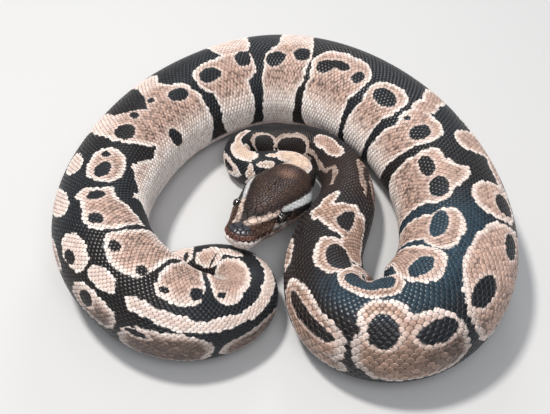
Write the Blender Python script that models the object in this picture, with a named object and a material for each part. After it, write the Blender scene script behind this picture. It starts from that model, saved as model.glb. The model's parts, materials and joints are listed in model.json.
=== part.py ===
"""Coiled ball python, life size, as a still museum model.

Sizes are in millimetres and become metres where the meshes are made.
The body is one tube of changing girth, laid along a route from the nape to
the tip of the tail, and cut across into named lengths.  The head is a second
loft on its own axis, parted into head and lower jaw by a thin mouth line.
"""
import math

import bmesh
import bpy
import numpy as np

COLLECTION_NAME = "ball_python"
MM = 0.001
GAP = 0.3                 # clearance between neighbouring solids
BELLY_PRESS = 0.8         # how far the resting belly is flattened by the floor
RING_POINTS = 20          # points round one body section
STEP_LONG = 10.0          # longest distance between two body sections
STEP_TURN = math.radians(15.0)   # largest turn between two body sections
BEND_SHARE = 0.86          # inner half width as a share of the bend's radius

# The body's route from the nape to the tip of the tail: x, y and how far the
# body is lifted off the floor.
ROUTE = [
    (6.1, 12.6, 0.0),        # the neck leaves the head and folds to the left
    (7.0, 16.0, 0.0),
    (5.2, 20.9, 0.0),
    (-0.6, 23.2, 0.0),
    (-7.0, 23.3, 0.0),
    (-13.2, 23.3, 0.0),      # hairpin of the neck
    (-19.7, 26.0, 0.0),
    (-22.4, 32.5, 0.0),
    (-19.7, 39.0, 0.0),
    (-13.2, 41.7, 0.0),
    (-4.0, 42.1, 0.0),       # front of the trunk, to the right and down
    (9.8, 41.0, 0.0),
    (23.2, 31.2, 0.0),
    (31.5, 9.0, 0.0),
    (29.6, -7.5, 0.0),
    (20.0, -33.5, 0.0),
    (19.0, -57.5, 0.0),      # it turns back at the front of the coil
    (28.0, -75.0, 0.0),
    (46.0, -80.0, 0.0),
    (63.5, -71.0, 0.0),
    (76.0, -51.0, 0.0),      # the thick middle runs round the right side
    (79.5, -24.5, 0.0),
    (75.5, 4.0, 0.0),
    (63.5, 34.0, 0.0),
    (44.0, 59.0, 0.0),
    (18.5, 75.0, 0.0),       # across the back
    (-9.0, 78.5, 0.0),
    (-36.5, 67.5, 0.0),
    (-59.5, 47.5, 0.6),
    (-75.5, 19.5, 3.0),      # down the left side, lifted where it lies on the tail
    (-84.0, -13.0, 5.6),
    (-79.5, -42.5, 6.6),
    (-64.5, -62.0, 3.4),
    (-46.0, -72.0, 0.6),
    (-30.5, -71.5, 0.0),     # the hind end folds back on itself
    (-19.5, -65.0, 0.0),
    (-16.2, -54.5, 0.0),
    (-21.0, -44.5, 0.0),
    (-31.5, -39.5, 0.0),
    (-42.0, -38.3, 0.0),     # the tail slips under the coil
    (-56.0, -38.3, 0.0),
    (-71.0, -42.0, 0.0),
    (-84.5, -49.0, 0.0),
]

# Half width of the body against the distance from the nape.
HALF_WIDTH = [
    (0, 11.0), (10, 9.3), (22, 8.5), (62, 8.5), (80, 9.3), (98, 10.5),
    (121, 12.4), (166, 17.0), (190, 18.9), (211, 22.2), (247, 26.2), (283, 26.8),
    (383, 25.0), (433, 25.2), (483, 24.2), (553, 22.2), (588, 22.0), (628, 22.6),
    (656, 21.2), (672, 18.6), (690, 15.0), (706, 12.2), (720, 10.6), (740, 7.4),
    (757, 4.6), (774, 1.6),
]

# Half height of the body as a share of its half width.
ROUNDNESS = [
    (0, 0.87), (14, 1.0), (28, 1.16), (60, 1.18), (82, 1.1), (130, 1.0),
    (211, 0.87), (283, 0.86), (363, 0.9), (433, 0.88), (553, 0.935),
    (628, 0.895), (683, 0.92), (718, 0.96), (774, 1.0),
]

# The named lengths of the body, each with the distance at which it ends.
LENGTHS = [
    ("neck", 82.0),
    ("trunk_1", 140.0),
    ("trunk_2", 196.0),
    ("trunk_3", 256.0),
    ("trunk_4", 330.0),
    ("trunk_5", 410.0),
    ("trunk_6", 490.0),
    ("trunk_7", 575.0),
    ("trunk_8", 655.0),
    ("trunk_9", 720.0),
    ("tail", None),
]

NECK_SETTLE = 4.0                # length over which the neck takes up its own course
TAIL_CROSSING = (-79.5, -42.5)   # where the coil lies over its own tail
TAIL_ROOM = 14.8                 # clear height that the coil leaves for the tail
TAIL_ROOM_FLAT = 12.0
TAIL_ROOM_FADE = 18.0
NECK_HELD = 40.0                 # the first stretch of neck does not sag to the floor

# The head's axis starts at the lips and runs back to the nape.
SNOUT = (-21.6, -41.1, 29.3)
HEAD_BEARING = math.radians(62.7)    # from the snout towards the nape
HEAD_PITCH = math.radians(14.9)      # the snout is raised on the tail
HEAD_ROLL = math.radians(3.0)        # the left cheek is held higher
HEAD_LENGTH = 59.0
NAPE_RISE = 0.5                      # the nape's centre above the head's axis
SNOUT_ROUND = 5.0                    # length over which the snout rounds off

# Head sections: distance behind the lips, half width, top and bottom.
HEAD_SECTIONS = [
    (0.0, 7.5, 3.4, -6.0),
    (5.5, 8.2, 4.8, -6.9),
    (12.4, 9.7, 6.7, -7.6),
    (18.0, 11.8, 8.2, -8.3),
    (27.0, 13.8, 9.5, -9.3),
    (37.0, 16.0, 10.2, -10.2),
    (45.5, 16.2, 10.3, -10.4),
    (53.0, 13.8, 10.1, -9.9),
    (59.0, 11.2, 10.1, -9.2),
]
HEAD_STEPS = [0.12, 0.5, 1.2, 2.2, 3.6, 5.5, 8.0, 11.0, 14.5, 18.0, 22.0, 26.0,
              30.5, 35.0, 39.5, 44.0, 48.0, 52.0]
HEAD_POINTS = 28
MOUTH_BACK = 43.0                    # corner of the mouth

EYE_RADIUS = 2.4
EYE_BACK = 23.0
EYE_OUT = 11.2
EYE_UP = 3.2

SKIN_DARK = (0.035, 0.025, 0.021)
SKIN_TAN = (0.38, 0.24, 0.17)
EYE_BLACK = (0.006, 0.005, 0.006)


def unit(vector):
    return vector / np.linalg.norm(vector)


def smoothstep(value):
    value = np.clip(value, 0.0, 1.0)
    return value * value * (3.0 - 2.0 * value)


def natural_spline(knots, values, start_slope=None):
    """Second derivatives of a cubic spline: free at the end, clamped at the start if told."""
    count = len(knots)
    step = np.diff(knots)
    matrix = np.zeros((count, count))
    right = np.zeros_like(values)
    for i in range(1, count - 1):
        matrix[i, i - 1:i + 2] = (step[i - 1], 2.0 * (step[i - 1] + step[i]), step[i])
        rise_after = (values[i + 1] - values[i]) / step[i]
        rise_before = (values[i] - values[i - 1]) / step[i - 1]
        right[i] = 6.0 * (rise_after - rise_before)
    matrix[-1, -1] = 1.0
    matrix[0, 0] = 1.0
    if start_slope is not None:
        matrix[0, :2] = (2.0 * step[0], step[0])
        right[0] = 6.0 * ((values[1] - values[0]) / step[0] - start_slope)
    return np.linalg.solve(matrix, right)


def spline_at(knots, values, bends, where):
    """The spline's value at each distance in where."""
    index = np.clip(np.searchsorted(knots, where) - 1, 0, len(knots) - 2)
    step = (knots[index + 1] - knots[index])[:, None]
    after = (where - knots[index])[:, None] / step
    before = 1.0 - after
    curve = (before ** 3 - before) * bends[index] + (after ** 3 - after) * bends[index + 1]
    return before * values[index] + after * values[index + 1] + curve * step ** 2 / 6.0


def smooth_profile(rows, where):
    """A smooth curve through rows of (distance, value, ...), read at each place."""
    rows = np.array(rows, float)
    bends = natural_spline(rows[:, 0], rows[:, 1:])
    return spline_at(rows[:, 0], rows[:, 1:], bends, np.asarray(where, float))


def spread(turn, reach=61):
    """The sharpest turn near each place, eased in and out."""
    sides = np.pad(turn, reach // 2, mode="edge")
    sharpest = np.array([sides[k:k + reach].max() for k in range(len(turn))])
    sides = np.pad(sharpest, reach // 2, mode="edge")
    return np.convolve(sides, np.ones(reach) / reach, mode="valid")


def head_axes():
    """Unit vectors of the head: backwards, to its left and upwards."""
    level = np.array([math.cos(HEAD_BEARING), math.sin(HEAD_BEARING), 0.0])
    left = np.array([math.sin(HEAD_BEARING), -math.cos(HEAD_BEARING), 0.0])
    back = level * math.cos(HEAD_PITCH) - np.array([0.0, 0.0, math.sin(HEAD_PITCH)])
    up = np.cross(left, back)
    rolled_left = left * math.cos(HEAD_ROLL) + up * math.sin(HEAD_ROLL)
    return back, rolled_left, np.cross(rolled_left, back)


def head_place(distance, out, rise):
    """A point of the head, given from the lips along its axes."""
    back, left, up = head_axes()
    return np.array(SNOUT) + distance * back + out * left + rise * up


class Route:
    """The body's centreline with its sections, measured from the nape."""

    def __init__(self):
        back, self.head_left, _ = head_axes()
        self.head_back = back
        nape = head_place(HEAD_LENGTH, 0.0, NAPE_RISE)
        plan = np.array([(x, y) for x, y, _ in ROUTE])
        plan = np.vstack([nape[:2], plan])
        step = np.linalg.norm(np.diff(plan, axis=0), axis=1)
        knots = np.concatenate([[0.0], np.cumsum(step)])
        level_back = back[:2] / np.linalg.norm(back[:2])
        bends = natural_spline(knots, plan, start_slope=level_back)
        fine = np.linspace(0.0, knots[-1], 4001)
        plan_fine = spline_at(knots, plan, bends, fine)
        flat = np.linalg.norm(np.diff(plan_fine, axis=0), axis=1)
        self.s = np.concatenate([[0.0], np.cumsum(flat)])
        lift_s = np.interp(knots, fine, self.s)
        widths = smooth_profile(HALF_WIDTH, np.clip(self.s, 0.0, HALF_WIDTH[-1][0]))[:, 0]
        self.width = np.maximum(widths, 1.2)
        roundness = smooth_profile(ROUNDNESS, np.clip(self.s, 0.0, ROUNDNESS[-1][0]))[:, 0]
        self.height = self.width * roundness
        nape_lift = nape[2] - (self.height[0] - BELLY_PRESS)
        lifts = np.array([0.0] + [lift for _, _, lift in ROUTE])
        lift = np.interp(self.s, lift_s, lifts)
        lift = np.convolve(np.pad(lift, 60, mode="edge"), np.ones(121) / 121.0, mode="valid")
        reach = 2.0 * nape_lift / math.tan(HEAD_PITCH)
        lift += nape_lift * np.maximum(0.0, 1.0 - self.s / reach) ** 2
        self.centre = np.column_stack([plan_fine, self.height - BELLY_PRESS + lift])
        self.tangent = np.gradient(self.centre, self.s, axis=0)
        self.tangent /= np.linalg.norm(self.tangent, axis=1)[:, None]
        heading = np.unwrap(np.arctan2(self.tangent[:, 1], self.tangent[:, 0]))
        turn = np.gradient(heading, self.s)
        self.turn_left = spread(np.maximum(turn, 0.0))
        self.turn_right = spread(np.maximum(-turn, 0.0))
        crossing = np.linalg.norm(plan_fine - np.array(TAIL_CROSSING), axis=1)
        away = np.abs(self.s - self.s[np.argmin(crossing)])
        fade = (away - TAIL_ROOM_FLAT) / TAIL_ROOM_FADE
        self.underside = TAIL_ROOM * (1.0 - smoothstep(fade))
        self.length = self.s[-1]

    def at(self, distance, values):
        if values.ndim == 1:
            return float(np.interp(distance, self.s, values))
        return np.array([np.interp(distance, self.s, column) for column in values.T])

    def direction(self, distance):
        """The way the body runs; the first millimetres keep the head's own axis."""
        settle = float(smoothstep(distance / NECK_SETTLE))
        tangent = self.at(distance, self.tangent)
        return unit(tangent * settle + self.head_back * (1.0 - settle))

    def inner_half(self, distance, half, turn):
        """Half width on the inside of a bend, where the skin bunches up."""
        eased = self.at(distance, turn) * float(smoothstep(distance / NECK_SETTLE))
        return min(half, BEND_SHARE / max(eased, 1e-6))

    def ring(self, distance, shift=0.0):
        """One closed section of the body, moved along its own normal by shift."""
        centre = self.at(distance, self.centre)
        tangent = self.direction(distance)
        left = unit(np.cross(tangent, (0.0, 0.0, 1.0)))
        settle = float(smoothstep(distance / 18.0))
        left = unit(left * settle + self.head_left * (1.0 - settle))
        left = unit(left - tangent * np.dot(left, tangent))
        up = np.cross(left, tangent)
        half = self.at(distance, self.width)
        tall = self.at(distance, self.height)
        left_half = self.inner_half(distance, half, self.turn_right)
        right_half = self.inner_half(distance, half, self.turn_left)
        room = self.at(distance, self.underside)
        belly = tall
        if distance > NECK_HELD:
            belly = max(tall, centre[2] + BELLY_PRESS)
        points = []
        for k in range(RING_POINTS):
            angle = 2.0 * math.pi * k / RING_POINTS
            out, rise = loaf(angle, left_half, right_half, tall, belly)
            point = centre + left * out + up * rise + tangent * shift
            floor = room * float(smoothstep((0.55 - out / half) / 0.5))
            point[2] = max(point[2], floor)
            points.append(point)
        return np.array(points)

    def stations(self, start, end):
        """Distances for sections: close together where the body turns."""
        turn = self.turn_left + self.turn_right
        density = np.maximum(1.0 / STEP_LONG, turn / STEP_TURN)
        grown = np.concatenate([[0.0], np.cumsum((density[1:] + density[:-1]) / 2.0 * np.diff(self.s))])
        first, last = np.interp([start, end], self.s, grown)
        count = max(2, math.ceil(last - first))
        return np.interp(np.linspace(first, last, count + 1), grown, self.s)


def loaf(angle, left_half, right_half, top, bottom, top_power=2.0, low_power=2.2):
    """A point of a rounded section; the angle runs from the top towards the left."""
    side, rise = math.sin(angle), math.cos(angle)
    power = 2.0 / (top_power if rise > 0.0 else low_power)
    half = left_half if side > 0.0 else right_half
    out = half * math.copysign(abs(side) ** power, side)
    height = (top if rise > 0.0 else bottom) * math.copysign(abs(rise) ** power, rise)
    return out, height


def loft(name, rings, end_point=None):
    """A closed solid through rings of equal size; an end point closes the last one."""
    mesh = bmesh.new()
    loops = [[mesh.verts.new(point * MM) for point in ring] for ring in rings]
    size = len(loops[0])
    for first, second in zip(loops, loops[1:]):
        for k in range(size):
            after = (k + 1) % size
            mesh.faces.new((first[k], first[after], second[after], second[k]))
    mesh.faces.new(list(reversed(loops[0])))
    if end_point is None:
        mesh.faces.new(loops[-1])
    else:
        tip = mesh.verts.new(end_point * MM)
        for k in range(size):
            mesh.faces.new((loops[-1][k], loops[-1][(k + 1) % size], tip))
    bmesh.ops.recalc_face_normals(mesh, faces=mesh.faces)
    return add_object(name, mesh)


def add_object(name, mesh):
    data = bpy.data.meshes.new(name)
    mesh.to_mesh(data)
    mesh.free()
    piece = bpy.data.objects.new(name, data)
    collection().objects.link(piece)
    return piece


def collection(name=COLLECTION_NAME):
    """The collection of that name, made and linked the first time it is asked for."""
    found = bpy.data.collections.get(name)
    if found is None:
        found = bpy.data.collections.new(name)
        bpy.context.scene.collection.children.link(found)
    return found


def finish(piece, colour, roughness):
    """Smooth shading and one plain material of the piece's own."""
    material = bpy.data.materials.new(piece.name + "_finish")
    material.use_nodes = True
    shader = material.node_tree.nodes["Principled BSDF"]
    shader.inputs["Base Color"].default_value = (*colour, 1.0)
    shader.inputs["Roughness"].default_value = roughness
    piece.data.materials.clear()
    piece.data.materials.append(material)
    piece.data.shade_smooth()
    piece.data.set_sharp_from_angle(angle=math.radians(50.0))


def build_body(route):
    """The body's lengths, with a thin cut between each two."""
    start = 0.0
    for name, end in LENGTHS:
        last = end is None
        end = route.length if last else end
        stations = route.stations(start, end)
        rings = [route.ring(distance) for distance in stations]
        rings[0] = route.ring(start, GAP / 2.0)
        tip = None
        if last:
            tangent = route.direction(end)
            tip = route.at(end, route.centre) + tangent * 1.2
        else:
            rings[-1] = route.ring(end, -GAP / 2.0)
        piece = loft(name, rings, tip)
        finish(piece, SKIN_TAN if name.startswith("trunk") else SKIN_DARK, 0.4)
        start = end


def head_ring(distance, shift=0.0):
    """One section of the head, square to the head's axis."""
    half, top, bottom = smooth_profile(HEAD_SECTIONS, [distance])[0]
    ease = max(0.0, 1.0 - distance / SNOUT_ROUND)
    rounding = math.sqrt(1.0 - ease * ease)
    middle = NAPE_RISE * float(smoothstep((distance - 30.0) / (HEAD_LENGTH - 30.0)))
    points = []
    for k in range(HEAD_POINTS):
        angle = 2.0 * math.pi * k / HEAD_POINTS
        out, rise = loaf(angle, half, half, top - middle, -bottom + middle, 2.25, 2.1)
        points.append(head_place(distance + shift, out * rounding, middle + rise * rounding))
    return np.array(points)


def build_head():
    """Head and lower jaw as one loft, with room for the eyes and a mouth line."""
    rings = [head_ring(distance) for distance in HEAD_STEPS]
    rings.append(head_ring(HEAD_LENGTH, -GAP / 2.0))
    head = loft("head", rings)
    cutters = [eye_ball("socket", side, EYE_RADIUS + GAP) for side in (-1.0, 1.0)]
    cutters.append(mouth_cutter())
    for cutter in cutters:
        cut(head, cutter)
    jaw = split_lower_jaw(head)
    finish(head, SKIN_DARK, 0.35)
    finish(jaw, SKIN_DARK, 0.35)
    for name, side in (("eye_left", 1.0), ("eye_right", -1.0)):
        finish(eye_ball(name, side, EYE_RADIUS), EYE_BLACK, 0.05)


def eye_ball(name, side, radius):
    mesh = bmesh.new()
    bmesh.ops.create_uvsphere(mesh, u_segments=16, v_segments=10, radius=radius * MM)
    piece = add_object(name, mesh)
    piece.location = head_place(EYE_BACK, side * EYE_OUT, EYE_UP) * MM
    return piece


def mouth_cutter():
    """A thin L: the line of the lips, then straight down behind the jaw."""
    half = GAP / 2.0
    outline = [(-6.0, half), (MOUTH_BACK + half, half), (MOUTH_BACK + half, -20.0),
               (MOUTH_BACK - half, -20.0), (MOUTH_BACK - half, -half), (-6.0, -half)]
    mesh = bmesh.new()
    sides = []
    for out in (-20.0, 20.0):
        sides.append([mesh.verts.new(head_place(back, out, up) * MM) for back, up in outline])
    count = len(outline)
    mesh.faces.new(sides[0])
    mesh.faces.new(list(reversed(sides[1])))
    for k in range(count):
        after = (k + 1) % count
        mesh.faces.new((sides[0][after], sides[0][k], sides[1][k], sides[1][after]))
    bmesh.ops.recalc_face_normals(mesh, faces=mesh.faces)
    return add_object("mouth_line", mesh)


def cut(piece, cutter):
    """Takes the cutter out of the piece and removes the cutter."""
    modifier = piece.modifiers.new("cut", "BOOLEAN")
    modifier.operation = "DIFFERENCE"
    modifier.object = cutter
    graph = bpy.context.evaluated_depsgraph_get()
    result = bpy.data.meshes.new_from_object(piece.evaluated_get(graph))
    piece.modifiers.clear()
    piece.data = result
    bpy.data.objects.remove(cutter)


def split_lower_jaw(head):
    """Moves the loose body that lies lowest at the front into its own object."""
    mesh = bmesh.new()
    mesh.from_mesh(head.data)
    mesh.verts.ensure_lookup_table()
    lip = head_place(10.0, 0.0, -2.0) * MM
    seed = min(mesh.verts, key=lambda vert: np.linalg.norm(np.array(vert.co) - lip))
    jaw_verts = {seed}
    edge_of_search = [seed]
    while edge_of_search:
        vert = edge_of_search.pop()
        for edge in vert.link_edges:
            other = edge.other_vert(vert)
            if other not in jaw_verts:
                jaw_verts.add(other)
                edge_of_search.append(other)
    jaw_mesh = mesh.copy()
    inside = {vert.index for vert in jaw_verts}
    rest = [vert for vert in jaw_mesh.verts if vert.index not in inside]
    bmesh.ops.delete(jaw_mesh, geom=rest, context="VERTS")
    bmesh.ops.delete(mesh, geom=list(jaw_verts), context="VERTS")
    mesh.to_mesh(head.data)
    mesh.free()
    return add_object("lower_jaw", jaw_mesh)


def main():
    for old in list(bpy.data.objects):
        bpy.data.objects.remove(old)
    build_body(Route())
    build_head()


main()
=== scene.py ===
# %% [markdown]
# # Ball python, coiled at rest
# A ball python is a short, thick constrictor.  This one lies in a single flat coil with its
# neck folded in the middle and its chin on the base of its tail.  A museum model of it is
# made the same way as here: a body on a carved core, one skin over it, and every scale laid
# on that skin in rows that run from the nape to the tip of the tail.  All sizes below are in
# millimetres, and become metres where a mesh is made.

# %% Load the solid part that the looks are built around
import json
import math

import bmesh
import bpy
import numpy as np
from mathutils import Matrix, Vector
from mathutils.bvhtree import BVHTree

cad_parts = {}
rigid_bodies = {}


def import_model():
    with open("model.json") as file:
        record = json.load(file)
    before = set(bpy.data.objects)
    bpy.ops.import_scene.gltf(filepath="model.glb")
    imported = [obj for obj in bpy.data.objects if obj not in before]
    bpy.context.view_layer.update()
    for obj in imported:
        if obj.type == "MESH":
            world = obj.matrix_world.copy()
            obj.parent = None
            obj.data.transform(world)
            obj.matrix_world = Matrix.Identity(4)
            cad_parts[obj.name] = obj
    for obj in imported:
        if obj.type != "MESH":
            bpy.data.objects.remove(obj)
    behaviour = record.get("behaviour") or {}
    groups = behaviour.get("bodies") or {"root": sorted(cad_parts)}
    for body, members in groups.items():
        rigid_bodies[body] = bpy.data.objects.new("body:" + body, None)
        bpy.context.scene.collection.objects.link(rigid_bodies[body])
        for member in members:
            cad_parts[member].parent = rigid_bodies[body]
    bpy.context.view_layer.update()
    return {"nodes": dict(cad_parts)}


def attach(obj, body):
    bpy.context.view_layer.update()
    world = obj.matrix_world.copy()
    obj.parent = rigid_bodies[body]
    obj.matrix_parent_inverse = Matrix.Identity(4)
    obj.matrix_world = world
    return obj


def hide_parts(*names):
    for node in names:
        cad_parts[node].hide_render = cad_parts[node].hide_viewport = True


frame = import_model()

MM = 0.001
print("solid part:", len(frame["nodes"]), "nodes")

# %% [markdown]
# ## The animal's build
# The body is one tube whose girth grows from the neck to the middle and falls away to the
# tail, and it is lifted where it crosses its own tail.  These are the same measures as the
# solid part's, so that the skin lies just inside it.

# %% Measures of the body
# along, across and lift of the body's centre line
ROUTE = [
    (6.1, 12.6, 0), (7.0, 16.0, 0), (5.2, 20.9, 0), (-0.6, 23.2, 0), (-7.0, 23.3, 0),
    (-13.2, 23.3, 0), (-19.7, 26.0, 0), (-22.4, 32.5, 0), (-19.7, 39.0, 0), (-13.2, 41.7, 0),
    (-4.0, 42.1, 0), (9.8, 41.0, 0), (23.2, 31.2, 0), (31.5, 9.0, 0), (29.6, -7.5, 0),
    (20.0, -33.5, 0), (19.0, -57.5, 0), (28.0, -75.0, 0), (46.0, -80.0, 0), (63.5, -71.0, 0),
    (76.0, -51.0, 0), (79.5, -24.5, 0), (75.5, 4.0, 0), (63.5, 34.0, 0), (44.0, 59.0, 0),
    (18.5, 75.0, 0), (-9.0, 78.5, 0), (-36.5, 67.5, 0), (-59.5, 47.5, 0.6), (-75.5, 19.5, 3.0),
    (-84.0, -13.0, 5.6), (-79.5, -42.5, 6.6), (-64.5, -62.0, 3.4), (-46.0, -72.0, 0.6),
    (-30.5, -71.5, 0), (-19.5, -65.0, 0), (-16.2, -54.5, 0), (-21.0, -44.5, 0),
    (-31.5, -39.5, 0), (-42.0, -38.3, 0), (-56.0, -38.3, 0), (-71.0, -42.0, 0),
    (-84.5, -49.0, 0),
]
# distance from the nape, half width
HALF_WIDTH = [
    (0, 11.0), (10, 9.3), (22, 8.5), (62, 8.5), (80, 9.3), (98, 10.5), (121, 12.4),
    (166, 17.0), (190, 18.9), (211, 22.2), (247, 26.2), (283, 26.8), (383, 25.0), (433, 25.2),
    (483, 24.2), (553, 22.2), (588, 22.0), (628, 22.6), (656, 21.2), (672, 18.6), (690, 15.0),
    (706, 12.2), (720, 10.6), (740, 7.4), (757, 4.6), (774, 1.6),
]
# distance from the nape, height of the section against its width
ROUNDNESS = [
    (0, 0.87), (14, 1.0), (28, 1.16), (60, 1.18), (82, 1.1), (130, 1.0), (211, 0.87),
    (283, 0.86), (363, 0.9), (433, 0.88), (553, 0.935), (628, 0.895), (683, 0.92),
    (718, 0.96), (774, 1.0),
]
BELLY_PRESS = 0.8  # how far the floor presses the round section flat
BEND_SHARE = 0.86  # the inner half takes up no more of a bend's radius
NECK_SETTLE = 4.0  # the neck takes over from the head within this length
NECK_SIDE_EASE = 18.0  # and its sides turn level within this one
NECK_HELD = 40.0  # up to here the underside is free of the floor
TAIL_CROSSING = (-79.5, -42.5)
TAIL_ROOM = 14.8  # height left under the body where it crosses the tail
TAIL_ROOM_FLAT, TAIL_ROOM_FADE = 12.0, 18.0
print("body: %d places on the route, %d widths" % (len(ROUTE), len(HALF_WIDTH)))

# %% [markdown]
# ## The animal's head
# The head is a loft through nine cross-sections, from the lips to the nape.  Each has its
# distance from the lips, half its width, and how far it reaches above and below its axis.
# One point and three angles place the whole head, so it can be turned without touching its
# shape.

# %% Measures of the head
SNOUT = np.array((-21.6, -41.1, 29.3))
HEAD_BEARING = math.radians(62.7)
HEAD_PITCH = math.radians(14.9)
HEAD_ROLL = math.radians(3.0)
HEAD_LENGTH = 59.0
NAPE_RISE = 0.5
SNOUT_ROUND = 5.0
HEAD_SECTIONS = [
    (0.0, 7.5, 3.4, -6.0), (5.5, 8.2, 4.8, -6.9), (12.4, 9.7, 6.7, -7.6),
    (18.0, 11.8, 8.2, -8.3), (27.0, 13.8, 9.5, -9.3), (37.0, 16.0, 10.2, -10.2),
    (45.5, 16.2, 10.3, -10.4), (53.0, 13.8, 10.1, -9.9), (59.0, 11.2, 10.1, -9.2),
]
MOUTH_BACK = 43.0
EYE_RADIUS = 2.4
EYE_BACK, EYE_OUT, EYE_UP = 23.0, 11.2, 3.2
EYE_SIDE = 66.0  # degrees from the top where the black round the eye centres
print("head: %d sections over %.0f mm" % (len(HEAD_SECTIONS), HEAD_LENGTH))

# %% [markdown]
# ## Smooth curves through a few measures
# A taxidermist bends a wire through fixed points and lets it find its own curve.  A cubic
# spline does the same.  Blender's own curves could carry the body too, but skin, scales and
# plates all need the point at any distance and angle, so the spline is solved here.

# %% Soft steps and humps
def unit(vectors):
    return vectors / np.linalg.norm(vectors, axis=-1, keepdims=True)


def smoothstep(value):
    value = np.clip(value, 0.0, 1.0)
    return value * value * (3.0 - 2.0 * value)


def bump(value, width):
    """A soft hump round zero."""
    return np.exp(-0.5 * (value / width) ** 2)


def rising(value, start, length):
    """Nothing up to the start, then softly up to one within the length."""
    return smoothstep((value - start) / length)


def falling(value, end, length):
    """Softly down from one to nothing, which is reached at the end."""
    return smoothstep((end - value) / length)


def window(value, start, end, ease):
    """One between start and end, and eased to nothing just inside them."""
    return rising(value, start, ease) * falling(value, end, ease)


# %% Splines
def natural_spline(knots, values, start_slope=None):
    """Bend of the curve at each knot; a start slope fixes its first direction."""
    count = len(knots)
    step = np.diff(knots)
    matrix = np.zeros((count, count))
    right = np.zeros_like(values)
    for i in range(1, count - 1):
        matrix[i, i - 1:i + 2] = (step[i - 1], 2.0 * (step[i - 1] + step[i]), step[i])
        after = (values[i + 1] - values[i]) / step[i]
        before = (values[i] - values[i - 1]) / step[i - 1]
        right[i] = 6.0 * (after - before)
    matrix[0, 0] = matrix[-1, -1] = 1.0
    if start_slope is not None:
        matrix[0, :2] = (2.0 * step[0], step[0])
        right[0] = 6.0 * ((values[1] - values[0]) / step[0] - start_slope)
    return np.linalg.solve(matrix, right)


def spline_at(knots, values, bends, where):
    index = np.clip(np.searchsorted(knots, where) - 1, 0, len(knots) - 2)
    step = (knots[index + 1] - knots[index])[:, None]
    after = (where - knots[index])[:, None] / step
    before = 1.0 - after
    curve = (before ** 3 - before) * bends[index] + (after ** 3 - after) * bends[index + 1]
    return before * values[index] + after * values[index + 1] + curve * step ** 2 / 6.0


def smooth_profile(rows, where):
    """Measures between the rows of a table whose first column is the distance."""
    rows = np.array(rows, float)
    where = np.clip(np.asarray(where, float), rows[0, 0], rows[-1, 0])
    bends = natural_spline(rows[:, 0], rows[:, 1:])
    return spline_at(rows[:, 0], rows[:, 1:], bends, where)


print("half width at 300 mm: %.1f mm" % smooth_profile(HALF_WIDTH, [300.0])[0, 0])

# %% [markdown]
# ## Axes of the head
# The head rises towards the snout, which rests on the tail, and one cheek is held a little
# higher.  A tilted head could be an object with its own rotation, but three axes keep head
# and neck in one set of points, so that the skin runs over the nape without a seam.

# %% Head axes
level = np.array([math.cos(HEAD_BEARING), math.sin(HEAD_BEARING), 0.0])
level_left = np.array([math.sin(HEAD_BEARING), -math.cos(HEAD_BEARING), 0.0])
HEAD_BACK = level * math.cos(HEAD_PITCH) - np.array([0.0, 0.0, math.sin(HEAD_PITCH)])
level_up = np.cross(level_left, HEAD_BACK)
HEAD_LEFT = level_left * math.cos(HEAD_ROLL) + level_up * math.sin(HEAD_ROLL)
HEAD_UP = np.cross(HEAD_LEFT, HEAD_BACK)


def head_place(distance, out, rise):
    distance, out, rise = [np.asarray(v, float)[..., None] for v in (distance, out, rise)]
    return SNOUT + distance * HEAD_BACK + out * HEAD_LEFT + rise * HEAD_UP


print("end of the head's axis:", head_place(HEAD_LENGTH, 0.0, 0.0).round(1).tolist())

# %% [markdown]
# ## The route as a table of sections
# Every place on the animal has two measures: the distance along the body from the nape
# (negative on the head) and the angle round it from the top towards the animal's left.  The
# table keeps, for each distance, where the section stands and how wide and tall it is.  In a
# tight bend the inner half of the section is narrowed, or the tube would cut through itself.

# %% Averages along the body
FINE_STEPS = 4001  # places on the route where the table is worked out
SMOOTH_REACH, BEND_REACH = 121, 61


def evened(values, reach):
    """Average over so many places of the table."""
    sides = np.pad(values, reach // 2, mode="edge")
    return np.convolve(sides, np.ones(reach) / reach, mode="valid")


def spread(turn, reach):
    """The sharpest turn near each place, evened."""
    sides = np.pad(turn, reach // 2, mode="edge")
    sharpest = np.array([sides[k:k + reach].max() for k in range(len(turn))])
    return evened(sharpest, reach)


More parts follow.
